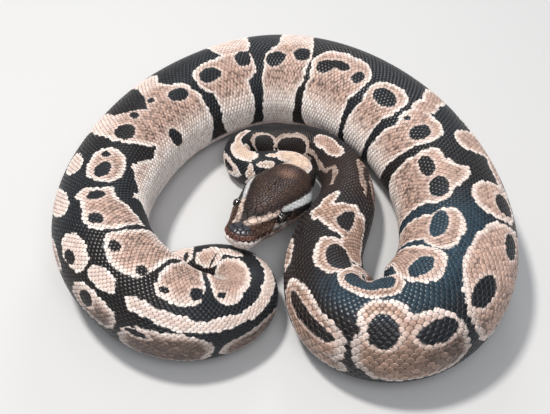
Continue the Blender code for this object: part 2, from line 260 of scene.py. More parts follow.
# %% Sections of the body
def body_table():
    """Distances, sections and turn of the body, from the nape to the tip of the tail."""
    nape = head_place(HEAD_LENGTH, 0.0, NAPE_RISE)
    plan = np.vstack([nape[:2], [(x, y) for x, y, _ in ROUTE]])
    knots = np.concatenate([[0.0], np.cumsum(np.linalg.norm(np.diff(plan, axis=0), axis=1))])
    bends = natural_spline(knots, plan, HEAD_BACK[:2] / np.linalg.norm(HEAD_BACK[:2]))
    fine = np.linspace(0.0, knots[-1], FINE_STEPS)
    flat = spline_at(knots, plan, bends, fine)
    steps = np.linalg.norm(np.diff(flat, axis=0), axis=1)
    s = np.concatenate([[0.0], np.cumsum(steps)])
    width = np.maximum(smooth_profile(HALF_WIDTH, s)[:, 0], 1.2)
    height = width * smooth_profile(ROUNDNESS, s)[:, 0]
    nape_lift = nape[2] - (height[0] - BELLY_PRESS)
    lift = np.interp(s, np.interp(knots, fine, s), [0.0] + [row[2] for row in ROUTE])
    lift = evened(lift, SMOOTH_REACH)
    reach = 2.0 * nape_lift / math.tan(HEAD_PITCH)
    lift += nape_lift * np.maximum(0.0, 1.0 - s / reach) ** 2
    centre = np.column_stack([flat, height - BELLY_PRESS + lift])
    tangent = unit(np.gradient(centre, s, axis=0))
    turn = np.gradient(np.unwrap(np.arctan2(tangent[:, 1], tangent[:, 0])), s)
    settle = smoothstep(s / NECK_SETTLE)
    turn_left = spread(np.maximum(turn, 0.0), BEND_REACH) * settle
    turn_right = spread(np.maximum(-turn, 0.0), BEND_REACH) * settle
    along = unit(tangent * settle[:, None] + HEAD_BACK * (1.0 - settle[:, None]))
    left = unit(np.cross(along, (0.0, 0.0, 1.0)))
    ease = smoothstep(s / NECK_SIDE_EASE)[:, None]
    left = unit(left * ease + HEAD_LEFT * (1.0 - ease))
    left = unit(left - along * np.sum(left * along, axis=1, keepdims=True))
    up = np.cross(left, along)
    left_half = np.minimum(width, BEND_SHARE / np.maximum(turn_right, 1e-6))
    right_half = np.minimum(width, BEND_SHARE / np.maximum(turn_left, 1e-6))
    belly = np.where(s > NECK_HELD, np.maximum(height, centre[:, 2] + BELLY_PRESS), height)
    crossing = np.linalg.norm(flat - np.array(TAIL_CROSSING), axis=1)
    away = np.abs(s - s[np.argmin(crossing)])
    room = TAIL_ROOM * (1.0 - smoothstep((away - TAIL_ROOM_FLAT) / TAIL_ROOM_FADE))
    powers = np.column_stack([np.full(len(s), 2.0), np.full(len(s), 2.2)])
    columns = [centre, left, up, left_half, right_half, height, belly, width, room, powers]
    return s, np.column_stack(columns), evened(turn, SMOOTH_REACH)


body_s, body_columns, bend_of_body = body_table()
TAIL_END = float(body_s[-1])
print("body from the nape to the tip of the tail: %.0f mm" % TAIL_END)


# %% Sections of the head
def head_table():
    """The same columns for the head, from the snout to the nape."""
    back = np.concatenate([np.linspace(0.004, 1.0, 60) ** 2 * SNOUT_ROUND,
                           np.arange(SNOUT_ROUND + 0.25, HEAD_LENGTH, 0.25)])
    half, top, bottom = smooth_profile(HEAD_SECTIONS, back).T
    round_off = np.sqrt(1.0 - np.maximum(0.0, 1.0 - back / SNOUT_ROUND) ** 2)
    middle = NAPE_RISE * smoothstep((back - 30.0) / (HEAD_LENGTH - 30.0))
    half_there = half * round_off
    ones = np.ones((len(back), 3))
    columns = [head_place(back, 0.0 * back, middle), ones * HEAD_LEFT, ones * HEAD_UP,
               half_there, half_there, (top - middle) * round_off,
               (middle - bottom) * round_off, half_there, 0.0 * back,
               np.full(len(back), 2.25), np.full(len(back), 2.1)]
    return back - HEAD_LENGTH, np.column_stack(columns)


head_s, head_columns = head_table()
TABLE_S = np.concatenate([head_s, body_s])
TABLE = np.vstack([head_columns, body_columns])
LEFT_HALF, TOP, BOTTOM, WIDTH, POWER_ABOVE, POWER_BELOW = 9, 11, 12, 13, 15, 16  # columns


def table_at(s, column):
    return np.interp(s, TABLE_S, TABLE[:, column])


def girth_radius(s):
    """Mean radius of the body's section."""
    return np.maximum((table_at(s, WIDTH) + table_at(s, TOP)) / 2.0, 1.0)


print("body length from snout to tail tip: %.0f mm" % (TAIL_END + HEAD_LENGTH))

# %% [markdown]
# ## Modelling of the head
# The plain head of the solid part gets what a ball python's face has: a ridge from nostril
# to brow, a hollow in front of the eye, swollen lips with the line of the mouth between
# them, full jaw muscles behind, and a sunken place for each eye.  It could be sculpted, but
# soft humps in a formula keep both sides alike and every height known.

# %% Forms of the head
SNOUT_RIDGE = ([4.0, 10.0, 16.0, 21.0], [24.0, 32.0, 44.0, 50.0])  # distance, degrees
FACE_SWELLS = [
    # height, degrees from the top and their spread, distance from the lips and its spread
    (0.50, 47.0, 9.0, 23.0, 3.8),  # brow
    (-0.55, 62.0, 13.0, 32.5, 5.0),  # hollow behind the eye
    (0.50, 84.0, 18.0, 41.0, 7.0),  # jaw muscle
]
SOCKET_OUT, SOCKET_UP = 12.3, 3.6
LIP_SWELL_AT = 1.6  # the swell of each lip stands this far from the mouth


def mouth_rise(back):
    """Height of the mouth line above the head's axis."""
    return 0.3 - 0.6 * smoothstep(back / 26.0) + 0.3 * rising(back, 30.0, 12.0)


def face_forms(back, angle, out, rise):
    """How far the head's surface stands out from the plain loft, in millimetres."""
    side = np.abs(np.degrees(angle))
    ridge = np.interp(back, *SNOUT_RIDGE)
    hollow_before_eye = bump(side - ridge - 24.0, 11.0) * bump(back - 14.5, 4.2)
    lift = 0.40 * bump(side - ridge, 7.0) * window(back, 3.0, 20.0, 4.0)
    lift = lift - 0.60 * hollow_before_eye
    for height, middle, wide, place, long in FACE_SWELLS:
        lift = lift + height * bump(side - middle, wide) * bump(back - place, long)
    crown_groove = bump(side, 8.0) * window(back, 26.0, 54.0, 8.0)
    lift = lift - 0.40 * crown_groove
    from_eye = np.sqrt((back - EYE_BACK) ** 2 + (np.abs(out) - SOCKET_OUT) ** 2
                       + (rise - SOCKET_UP) ** 2)
    lift = lift - 0.50 * bump(from_eye, 2.2) + 0.35 * bump(from_eye - 3.3, 0.9)
    lips = rise - mouth_rise(back)
    front = smoothstep((MOUTH_BACK + 1.0 - back) / 3.0) * rising(side, 40.0, 20.0)
    lift = lift + 0.30 * bump(lips - LIP_SWELL_AT, 1.0) * front
    lift = lift + 0.25 * bump(lips + LIP_SWELL_AT, 1.0) * front
    lift = lift - 0.85 * bump(lips, 0.32) * front
    chin_groove = bump(side - 180.0, 9.0) * window(back, 5.0, 34.0, 8.0)
    return lift - 0.35 * chin_groove


print("mouth line: %.2f mm above the axis at 20 mm" % mouth_rise(20.0))

# %% [markdown]
# ## The surface itself
# `surface` turns distance and angle into a point.  `lifted` moves it along its own normal,
# so that skin, scales and plates can all be laid at their own depth below the solid part.
# A displaced, subdivided mesh could carry the scales as relief, but separate scales catch
# the light at their free edges as real ones do.

# %% Surface of the animal
SKIN_DEPTH = 0.42


def surface(s, angle):
    s, angle = np.broadcast_arrays(np.asarray(s, float), np.asarray(angle, float))
    shape = s.shape
    s, angle = s.ravel(), angle.ravel()
    values = np.column_stack([np.interp(s, TABLE_S, column) for column in TABLE.T])
    origin, left, up = values[:, 0:3], values[:, 3:6], values[:, 6:9]
    left_half, right_half, top, bottom, half, room, above, below = values[:, LEFT_HALF:].T
    side, over = np.sin(angle), np.cos(angle)
    power = 2.0 / np.where(over > 0.0, above, below)
    reach = np.where(side > 0.0, left_half, right_half)
    out = reach * np.sign(side) * np.abs(side) ** power
    rise = np.where(over > 0.0, top, bottom) * np.sign(over) * np.abs(over) ** power
    head = s < 0.0
    back = s + HEAD_LENGTH
    forms = face_forms(back, angle, out, rise) * head * smoothstep(-s / 6.0)
    forms = forms * smoothstep(back / 1.5)
    size = np.sqrt(out * out + rise * rise) + 1e-6
    out, rise = out * (1.0 + forms / size), rise * (1.0 + forms / size)
    point = origin + left * out[:, None] + up * rise[:, None]
    floor = room * smoothstep((0.55 - out / np.maximum(half, 0.1)) / 0.5)
    point[:, 2] = np.where(head, point[:, 2], np.maximum(point[:, 2], floor))
    return point.reshape(shape + (3,))


def on_skin(back, angle):
    """Places of the head, by their distance from the lips."""
    return surface(back - HEAD_LENGTH, angle)


def normals(s, angle):
    """Outward normals, from small steps along and round the body."""
    s, angle = np.broadcast_arrays(np.asarray(s, float), np.asarray(angle, float))
    low, high = np.maximum(s - 0.15, TABLE_S[0]), np.minimum(s + 0.15, TABLE_S[-1])
    along = surface(high, angle) - surface(low, angle)
    round_body = surface(s, angle + 0.012) - surface(s, angle - 0.012)
    across = np.cross(round_body, along)
    length = np.linalg.norm(across, axis=-1, keepdims=True)
    return across / np.maximum(length, 1e-9)


def lifted(s, angle, height):
    """Points that stand the given height above the skin."""
    height = np.asarray(height, float) - SKIN_DEPTH
    return surface(s, angle) + normals(s, angle) * height[..., None]


top_point, low_point = surface([100.0, 100.0], [0.0, math.pi])
print("trunk height at 100 mm: %.1f mm" % (top_point - low_point)[2])
print("normal on its back:", normals([100.0], [0.0])[0].round(2).tolist())

# %% [markdown]
# ## Pattern
# A ball python's pattern is a near-black ground with pale fields on each flank, called alien
# heads for the dark eyes in them, and a broken line of pale patches along the back.  Each
# field is tan in the middle, cream at its rim and white towards the belly.  It could be
# painted by hand on an unwrapped map, but shapes laid out by distance and angle stay sharp
# at any size.  A shape is its distance along the body, angle from the top, half length and
# half angle, and where it isn't a plain round, how square it is and how far it leans.

# %% Pale fields
FIELDS = [
    # nape and neck
    (9, 2, 13, 46, 2.2), (20, 0, 7, 12), (40, 0, 8.5, 34, 2.2), (44, 45, 6, 28, 2, 0.1),
    (51, -2, 7, 13), (27, -36, 5, 12), (34, -90, 1.6, 55), (42, -80, 5, 28), (64, 50, 8, 35, 2.3),
    (82, 51, 12, 33, 2.5), (104.5, 9.5, 10.8, 24.5, 2.4),
    # fore-body, back and left flank
    (173, -47, 20, 24, 2.2), (190, -10, 13, 27, 2.2), (180, 68, 7, 14, 2.3),
    (207, 66, 13.5, 29, 2.5), (212, 97, 9, 16, 2.2), (236, 64, 14, 42, 2.6),
    (229.5, 24, 8, 20, 2.2), (272, 60, 20, 46, 2.8), (271, 24, 12, 15, 2.6),
    (301.5, 37, 9.8, 28.5, 2.2), (335, 44, 8, 31, 2.4), (366, 35, 6, 25, 2.4, 0.15),
    # middle, back and right flank
    (221, -24, 20.5, 28, 2.4), (200, -45, 5, 20), (254, -28, 13, 31, 2.4),
    (257, -62, 10.5, 40, 2.4), (280, -18, 13.5, 19, 2.4), (282, -62, 10.5, 50, 2.6),
    (316, -24, 18, 17, 2.8), (317, -67, 17.5, 55, 3), (349.5, -15, 12.5, 24, 2.4),
    (352, -60, 10.5, 58, 2.6, -0.12), (360, 8, 6, 16), (377, -22, 12, 25, 2.5),
    (379, -68, 10.5, 52, 2.8, -0.06), (410, -22, 18, 32, 2.4), (411, -72, 16.5, 52, 3.2),
    (482, -22, 18.8, 24, 2.6), (483, -66, 12.5, 50, 2.8), (471, 25, 9.3, 30, 2.8),
    # hind body
    (578, -7.5, 11.2, 23, 2.2), (575, 41, 6, 17, 2.3, -0.2), (593, 54, 7, 21, 2.4, -0.25),
    (714, 8, 6, 11, 2.2, -0.1), (722, -14, 6.5, 30, 2.2), (735, 8, 5.5, 44, 2.4),
    (610, 82, 6.5, 12, 2.2), (617.5, 44, 7, 17, 2.2), (633.5, 76, 9.5, 21, 2.6),
    (658, 90, 13, 30, 2.6), (683, 97, 10, 22, 2.4), (632, 38, 6.3, 11, 2.2),
    # tail
    (753, 20, 6, 60, 2.4), (767, -10, 4, 70, 2.4),
]
print("pale fields:", len(FIELDS))

# %% [markdown]
# ## Dark eyes inside the fields
# Most fields hold one or two near-black spots, the eyes of the alien heads.  They are shapes
# of the same kind, laid over the fields.

# %% Dark spots
SPOTS = [
    # neck and fore-body
    (42, -80, 2.2, 14), (64.5, 57, 5.8, 33, 2.4), (82, 59, 10.4, 27, 2.4),
    (191, -17, 10, 18, 2.2), (208, 61, 9.5, 9.5, 2.6), (229, 38, 4, 18, 2.2),
    (242.5, 47, 5.6, 12), (261, 43, 6.5, 11.5), (283.5, 54, 5, 10), (301, 47, 5.3, 13),
    (213, -24, 7.5, 17, 2.3), (230, -29, 7.5, 17, 2.3), (221.5, -19, 8, 10.5, 2.6),
    (252.5, -18, 7.8, 10, 2.2), (283, -24, 9, 9.5),
    # middle
    (308, -22, 6.5, 10.5), (323.5, -28, 7, 8.5), (345.5, -17, 5, 11.5, 2.2), (358, -19, 1.6, 4),
    (377.5, -19.5, 8, 10.5, 2.2), (399, -17.5, 3.5, 8.5), (412, -12, 6, 7),
    (419.5, -20, 5, 9.5, 2, -0.15), (435, -11, 4.5, 9.5), (450, -20, 6, 10.5, 2, -0.12),
    (469, -13, 4.3, 11.5, 2.2), (491, -19, 6.3, 10.5), (514.5, -21.5, 6.2, 9.5, 2, 0.15),
    (528.5, -5, 2, 3.5), (542, -3, 2.2, 5.5), (554, -7, 5.3, 12.5), (535, -63, 4.2, 14, 2, 0.06),
    (571.5, -2, 1.8, 6), (581, -5, 5.2, 9.5, 2, 0.12), (597.5, -2, 2.8, 11),
    # hind body and tail
    (610, 4, 2.8, 9, 2, -0.1), (625, 2, 3.2, 6.5), (641, 3.5, 2.3, 6), (652.5, 11, 2, 4.5),
    (664.5, 6.5, 2.8, 9.5), (674.5, 9, 1.8, 3.5), (617.5, 52, 2.8, 8), (630.5, 73, 3, 11),
    (650, 73, 3.4, 4.5), (733, -8, 1.1, 18), (720, -30, 0.7, 26, 2, -0.05), (729, 0, 0.7, 36),
]
print("dark spots:", len(SPOTS))

# %% [markdown]
# ## Outlines of the odd shapes
# Some fields run together into shapes that no single round can give.  These are outlines:
# the places, as distance and angle, that the edge runs through in order.

# %% Outlines and lines
PALE_AREAS = [
    [(508, 80), (514, 52), (510, 31), (515, 10), (512, -3), (506, -15), (503, -35), (503, -60),
     (503, -85), (507, -120), (600, -125), (604, -100), (599, -75), (592, -60), (596, -44),
     (587, -58), (580, -47), (573, -38), (565, -46), (557, -57), (551, -51), (554, -43),
     (560, -19), (562, 0), (559, 25), (554, 48), (552, 80)],
    [(596, 24), (592, 17), (593, -6), (592, -23), (601, -29), (604, -41), (610, -50),
     (618, -54), (618, -8), (616, 3), (613, 14), (609, 19), (600, 16)],
    [(622, 13), (618, 0), (620, -14), (621, -38), (622, -110), (650, -110), (648, -50),
     (645, -33), (645, -6), (643, 9), (640, 17), (634, 20), (628, 18)],
    [(649, 13), (647, -4), (648, -21), (650, -43), (651, -95), (668, -95), (667, -47),
     (668, -10), (668, 5), (666, 20), (661, 25), (656, 23), (651, 18)],
    [(671, 5), (674, 23), (679, 26), (685, 14), (693, 6), (700, 2), (707, -2), (713, -12),
     (716, -28), (717, -66), (673, -66), (670, -30)],
    [(642, 37), (646, 30), (652, 33), (662, 36), (666, 42), (670, 43), (675, 38), (681, 40),
     (686, 37), (692, 31), (699, 35), (707, 40), (706, 60), (698, 66), (692, 58), (681, 57),
     (675, 58), (668, 57), (661, 55), (656, 52), (651, 48), (645, 47)],
    [(161, 44), (159, 34), (150, 30), (145, 11), (151, 6), (155, 8), (153, -2), (152, -16),
     (151, -31), (155, -48), (162, -64), (180, -66), (176, -34), (175, -22), (173, -10),
     (171, 1), (168, 16), (167, 33)],
    [(118, -36), (121, -27), (130, -21), (138, -27), (142, -42), (138, -42), (131, -35),
     (124, -42), (122, -54), (119, -52)],
    [(446, 54), (446, 32), (448, 5), (455, -12), (459, -31), (463, -68), (464, -125),
     (436, -125), (434, -68), (430, -45), (429, -18), (433, 30), (433, 54)],
    [(334, -20), (332, -8), (325, -8), (321, 1), (318, 12), (314, 12), (308, 1), (302, -13),
     (300, -24), (310, -40), (330, -40)],
]
DARK_AREAS = [
    [(165, -7), (158, -17), (155, -33), (162, -37), (169, -32), (169, -19)],
    [(520, 60), (524, 25), (528, 7), (535, -12), (539, 2), (545, 22), (541, 45), (540, 78),
     (520, 78)],
]

# Thin pale lines on the neck: distance, angle and half width at each place.
NECK_LINES = [
    [(91, 66, 1.3), (96, 56, 1.3), (103, 60, 1.3), (110, 68, 1.3), (117, 64, 1.3),
     (121, 50, 1.3), (122, 33, 1.3), (130, 31, 1.3), (138, 36, 1.3)],
    [(74, 74, 1.0), (86, 80, 1.0), (98, 78, 1.0)],
]
print("outlines:", len(PALE_AREAS) + len(DARK_AREAS), "lines:", len(NECK_LINES))

# %% [markdown]
# ## The far flank
# The flank that faces the next coil hardly shows, but a model may be turned round, so fields
# run along it too.  A loop is enough here: one field and its eyes for each stretch.

# %% Line of the back and the far flank
BACK_LINE = [(0, 0), (60, 8), (200, 8), (300, 10), (360, 24), (420, 30), (520, 34), (620, 40),
             (700, 38), (735, 20), (774, 10)]


def back_angle(s):
    """Where the middle of the back runs, in degrees from the top of the tube."""
    return np.interp(s, *np.array(BACK_LINE, float).T)


FAR_FLANK = 74.0  # degrees from the middle of the back
FAR_CENTRES = [322, 352, 386, 418, 450, 484, 518, 552, 586]
for step, middle_s in enumerate(FAR_CENTRES):
    middle_angle = float(back_angle(middle_s)) + FAR_FLANK
    FIELDS.append((middle_s, middle_angle, 13.0 + step % 3, 46, 2.8, 0.04))
    SPOTS.append((middle_s - 6, middle_angle - 22, 4.5, 9))
    if step % 2:
        SPOTS.append((middle_s + 6, middle_angle - 20, 4.0, 10))
LOW_LEFT = [(middle_s, 142, 10, 22, 2.6) for middle_s in (100, 128, 156, 184)]
LOW_RIGHT = [(middle_s, -88, 9, 34, 2.6) for middle_s in (58, 80, 131, 205, 228)]
FIELDS += LOW_LEFT + LOW_RIGHT
PATTERN_SHIFT = 776.5 - TAIL_END  # the pattern was laid out on a slightly longer body
print("pattern: %d fields, %d dark spots" % (len(FIELDS), len(SPOTS)))

# %% [markdown]
# ## How deep a place lies in the pattern
# A plain inside or outside gives hard edges only.  The distance to the edge also gives rims,
# halos and soft middles from the same shapes.

# %% Depth inside the round shapes
OUTSIDE = -99.0  # the depth of a place far from every shape
PLAIN_ROUND = (2, 0)  # the squareness and lean of a shape that gives none


def inside_shapes(shapes, s, degrees, radius):
    """Millimetres inside the nearest shape, negative outside."""
    best = np.full(s.shape, OUTSIDE)
    for shape in shapes:
        centre, middle, long, wide, power, lean = shape + PLAIN_ROUND[len(shape) - 4:]
        near = np.abs(s - centre) < long * 1.6 + 12.0
        if not near.any():
            continue
        across = (degrees[near] - middle + 180.0) % 360.0 - 180.0
        x = s[near] - centre - lean * across
        per_degree = np.pi / 180.0 * radius[near]
        y = across * per_degree
        ratio = (np.abs(x / long) ** power + np.abs(across / wide) ** power) ** (1.0 / power)
        ratio = np.maximum(ratio, 1e-3)
        depth = np.hypot(x, y) / ratio * (1.0 - ratio)
        depth = np.where(ratio < 0.05, np.minimum(long, wide * per_degree), depth)
        best[near] = np.maximum(best[near], depth)
    return best


print("depth at the nape:",
      inside_shapes(FIELDS, np.array([9.0]), np.array([2.0]), np.array([9.0])).round(1)[0])


# %% Depth inside the outlines and lines
def beside_stretch(x, y, dx, dy):
    """Distance of a place from a straight stretch, and the nearest point's share of it."""
    share = np.clip((x * dx + y * dy) / (dx * dx + dy * dy), 0.0, 1.0)
    return np.hypot(x - share * dx, y - share * dy), share


def inside_areas(areas, s, degrees, radius):
    """Millimetres inside the nearest outline, negative outside."""
    best = np.full(s.shape, OUTSIDE)
    for places in areas:
        ends = [place[0] for place in places]
        near = (s > min(ends) - 6.0) & (s < max(ends) + 6.0)
        here, turn = s[near], degrees[near]
        per_degree = np.pi / 180.0 * radius[near]
        within = np.zeros(here.shape, bool)
        away = np.full(here.shape, 99.0)
        for (s0, a0), (s1, a1) in zip(places, places[1:] + places[:1]):
            if a0 != a1:
                within ^= ((a0 > turn) != (a1 > turn)) & (
                    here < s0 + (s1 - s0) * (turn - a0) / (a1 - a0))
            off_edge, _ = beside_stretch(here - s0, (turn - a0) * per_degree,
                                         s1 - s0, (a1 - a0) * per_degree)
            away = np.minimum(away, off_edge)
        best[near] = np.maximum(best[near], np.where(within, away, -away))
    return best


def along_courses(courses, s, degrees, radius):
    """Millimetres inside the nearest line, negative outside."""
    best = np.full(s.shape, OUTSIDE)
    per_degree = np.pi / 180.0 * radius
    for places in courses:
        for (s0, a0, half0), (s1, a1, half1) in zip(places, places[1:]):
            away, share = beside_stretch(s - s0, (degrees - a0) * per_degree,
                                         s1 - s0, (a1 - a0) * per_degree)
            best = np.maximum(best, half0 + (half1 - half0) * share - away)
    return best

# %% [markdown]
# ## Colours of the skin
# The ground is a brown so dark that it reads as black.  On the upper side of one bend it
# carries a painted blue sheen, a cold reflection painted into its colour.  Fields are
# pinkish tan, rims cream, the lower flank white with brown flecks, and the belly a pinkish
# white.  A painted picture would blur where scales are small, so the colour is worked out
# for any place and given to each scale's own points.

# %% Tones of the body
BLACK = np.array((0.020, 0.015, 0.014))
BLUE_BLACK = np.array((0.020, 0.026, 0.034))
# painted sheen: a cold blue reflection painted into the ground's colour on one bend
PAINTED_BLUE_SHEEN = np.array((0.040, 0.100, 0.150))
BROWN_BLACK = np.array((0.042, 0.024, 0.018))
TAN = np.array((0.44, 0.305, 0.25))
CREAM = np.array((0.70, 0.61, 0.57))
PALE_BACK = np.array((0.73, 0.63, 0.59))
WHITE = np.array((0.93, 0.86, 0.82))
FORE_TAN = np.array((0.36, 0.235, 0.175))
NAPE_CREAM = np.array((0.76, 0.61, 0.49))
FLECK = np.array((0.13, 0.08, 0.065))
BELLY = np.array((0.80, 0.70, 0.67))
DARK_RIM = np.array((0.047, 0.045, 0.047))
RIM_WARMTH = np.array((0.50, 0.12, 0.0))  # what the dark rims of the fore-body gain
THIN_LOSS = np.array((0.0, 0.12, 0.2))  # what the thin neck marks lose of each colour

# stretches of the body that differ, as start, end and how softly they begin and end
BROWN_GROUND = (108.0, 150.0, 10.0)
# the stretch whose upper side carries the painted blue sheen
SHEEN_STRETCH = (190.0, 312.0, 26.0)
QUIET_RIMS = (100.0, 345.0, 20.0)
TAN_FORE_BODY = (104.0, 246.0, 14.0)
WARM_RIMS = (50.0, 225.0, 30.0)
SHADED_FORE, SHADED_HIND = (196.0, 262.0, 14.0), (606.0, 705.0, 14.0)
THIN_SPOTTED, THIN_RIGHT = (54.0, 98.0, 4.0), (108.0, 146.0, 4.0)
print("ground:", BLACK.tolist(), "field:", TAN.tolist())


# %% Mixing and slow waves
def blend(first, second, share):
    share = np.asarray(share)[..., None]
    return first * (1.0 - share) + second * share


def soft_noise(s, degrees, seed, size):
    """Slow waves over the body, between about -1 and 1."""
    dice = np.random.default_rng(seed)
    total = np.zeros(s.shape)
    for _ in range(6):
        turn, phase = dice.uniform(0.0, 2.0 * np.pi, 2)
        wave = dice.uniform(0.6, 1.6) / size
        total += np.sin((s * np.cos(turn) + 0.3 * degrees * np.sin(turn)) * wave + phase)
    return total / 3.0


# %% Colour of the ground and of the fields
def ground_tone(s, degrees, luck):
    """The dark ground, with brown and blue-black stretches and a painted blue sheen on one bend.
    """
    ground = blend(BLACK, BLUE_BLACK, smoothstep(0.5 + 0.9 * soft_noise(s, degrees, 7, 16.0)))
    ground = blend(ground, BROWN_BLACK, window(s, *BROWN_GROUND) * 0.9)
    # painted blue sheen: a reflection painted on the upper side of one bend
    sheen_share = window(s, *SHEEN_STRETCH) * falling(degrees, 38.0, 30.0)
    ground = blend(ground, PAINTED_BLUE_SHEEN, 0.9 * sheen_share)
    return ground * (0.75 + 0.6 * ((luck * 7.0) % 1.0))[..., None]


def field_tone(s, degrees, around, field, course, luck, fleck):
    """A pale field: tan inside, cream at the rim, white towards the belly."""
    deep = rising(field, 1.1, 2.0)
    tone = blend(CREAM, TAN, deep * 0.95)
    on_back = falling(around, 34.0, 16.0) * rising(s, 380.0, 40.0)
    tone = blend(tone, PALE_BACK, 0.75 * on_back * deep)
    tone = blend(tone, NAPE_CREAM, 0.8 * deep * falling(s, 58.0, 20.0))
    low = rising(around, 72.0, 40.0)
    tone = blend(tone, WHITE, 0.9 * low)
    edge = 0.5 - 0.3 * window(s, *QUIET_RIMS)
    tone = blend(tone, WHITE, edge * falling(field, 1.4, 1.4))
    shaded = np.maximum(window(s, *SHADED_FORE) * rising(degrees, 24.0, 30.0),
                        window(s, *SHADED_HIND) * rising(degrees, 58.0, 14.0))
    tone = tone * (1.0 - 0.42 * shaded)[..., None]
    thin = window(s, *THIN_SPOTTED) * window(degrees, 12.0, 96.0, 6.0)
    thin = np.maximum(thin, smoothstep(course + 1.0))
    thin = np.maximum(thin, window(s, *THIN_RIGHT) * smoothstep((-12.0 - degrees) / 8.0))
    tone = tone * (1.0 - 0.5 * thin)[..., None] * (1.0 - thin[..., None] * THIN_LOSS)
    lower = rising(around, 40.0, 40.0)
    dusting = (0.50 + 0.35 * lower - 0.40 * low) * (1.0 - 0.6 * on_back)
    tone = blend(tone, FLECK, fleck * dusting * deep)
    tone = blend(tone, FORE_TAN, 0.7 * deep * window(s, *TAN_FORE_BODY))
    return tone * (0.86 + 0.28 * ((luck * 5.0) % 1.0))[..., None]


def body_colour(s, degrees, luck, fleck=0.25):
    """Colour of a place; luck is a number from 0 to 1 that belongs to its scale, and fleck
    is how much of the brown dusting of a pale scale lies on this part of it."""
    radius = girth_radius(s)
    s = s + PATTERN_SHIFT
    jitter = (luck - 0.5) * 0.9 + 0.45 * soft_noise(s, degrees, 4, 2.5)
    field = inside_shapes(FIELDS, s, degrees, radius)
    field = np.maximum(field, inside_areas(PALE_AREAS, s, degrees, radius))
    course = along_courses(NECK_LINES, s, degrees, radius)
    field = np.maximum(field, course) + jitter
    spot = inside_shapes(SPOTS, s, degrees, radius)
    spot = np.maximum(spot, inside_areas(DARK_AREAS, s, degrees, radius)) + 0.5 * jitter
    around = np.abs((degrees - back_angle(s) + 180.0) % 360.0 - 180.0)
    ground = ground_tone(s, degrees, luck)
    tone = field_tone(s, degrees, around, field, course, luck, fleck)
    halo = smoothstep((spot + 2.0) / 1.4) * (spot < 0.0)
    tone = blend(tone, CREAM, 0.55 * halo)
    pale = (field > 0.0) & (spot < 0.0)
    colour = np.where(pale[..., None], tone, ground)
    belly = rising(around, 141.0, 6.0)
    belly_tone = BELLY * (0.9 + 0.2 * luck)[..., None]
    return np.clip(blend(colour, belly_tone, belly), 0.004, 0.95)


field_middle = body_colour(*np.array([[482.0], [-22.0], [0.5]]))
print("colour in the middle of a field:", field_middle[0].round(2).tolist())

# %% [markdown]
# ## Colours of the head
# The crown is chocolate brown, finely mottled.  A cream line runs from the tip of the snout
# over each eye, breaks off behind it and goes on as a wider grey-white line to the nape.
# Below it a black band passes through the eye, the upper lip behind the eye is pale grey,
# the cheek in front is brown, and the chin is white.  The two sides of a head differ a
# little, so each has its own lines.

# %% Tones and lines of the head
CROWN = np.array((0.034, 0.018, 0.014))
CROWN_LIGHT = np.array((0.078, 0.040, 0.027))
SNOUT_DARK = np.array((0.022, 0.018, 0.018))
# painted sheen: a bluish reflection painted on the top of the snout's tip
SNOUT_BLUE_SHEEN = np.array((0.030, 0.033, 0.042))
FACE_LINE = np.array((0.52, 0.40, 0.34))
NAPE_LINE = np.array((0.55, 0.56, 0.56))
BAND = np.array((0.010, 0.008, 0.008))
CHEEK = np.array((0.095, 0.050, 0.034))
SUTURE = np.array((0.21, 0.13, 0.085))
LIP_GREY = np.array((0.36, 0.33, 0.32))
LIP_RED = np.array((0.13, 0.060, 0.046))
CHIN = np.array((0.80, 0.73, 0.68))
# lines of the head: distance from the lips, angle and half width at each place
FACE_LINES = [
    [(8.2, 6, 1.1), (9.5, 16, 1.35), (12.8, 31, 1.4), (16.3, 41, 1.3), (20.3, 48, 1.1),
     (22.6, 49, 0.8)],
    [(7.4, -37, 0.8), (8.6, -26, 1.35), (13.3, -30, 1.25), (17.8, -34, 1.15), (21.8, -37, 0.9)],
]
NAPE_LINES = [
    [(25.2, 52, 0.8), (27, 54, 1.35), (30, 58, 1.7), (35.3, 63, 1.9), (42, 66, 2.1),
     (49.5, 78, 2.2), (60, 90, 1.9)],
    [(23.8, -39, 0.9), (28, -45, 1.4), (34, -52, 1.75), (40.3, -57, 2.0), (48, -64, 2.1),
     (60, -80, 1.9)],
]
LIP_PATCHES = [
    [(17.4, 84, 1.2), (21.8, 88, 1.3), (27.8, 98, 1.7), (33, 106, 1.6), (38, 110, 1.0)],
    [(19.0, -86, 1.1), (24.0, -92, 1.5), (31.0, -102, 1.6), (37, -108, 1.0)],
]


# upper edge of the dark band on each side, as distances from the lips and degrees
BAND_EDGE_LEFT = ([5, 8, 12.8, 20.3, 30, 42, 60], [34, 8, 31, 48, 58, 66, 90])
BAND_EDGE_RIGHT = ([5, 8, 13.3, 21, 28, 40, 60], [46, 34, 30, 37, 45, 57, 80])
BAND_HALF = ([8.0, 16.0, 22.0, 30.0, 46.0, 56.0], [1.4, 2.8, 5.0, 6.0, 7.5, 7.5])
NAPE_SPOT_BACK, NAPE_SPOT_ANGLE = 50.0, 4.0
print("lines on the head:", len(FACE_LINES) + len(NAPE_LINES) + len(LIP_PATCHES))


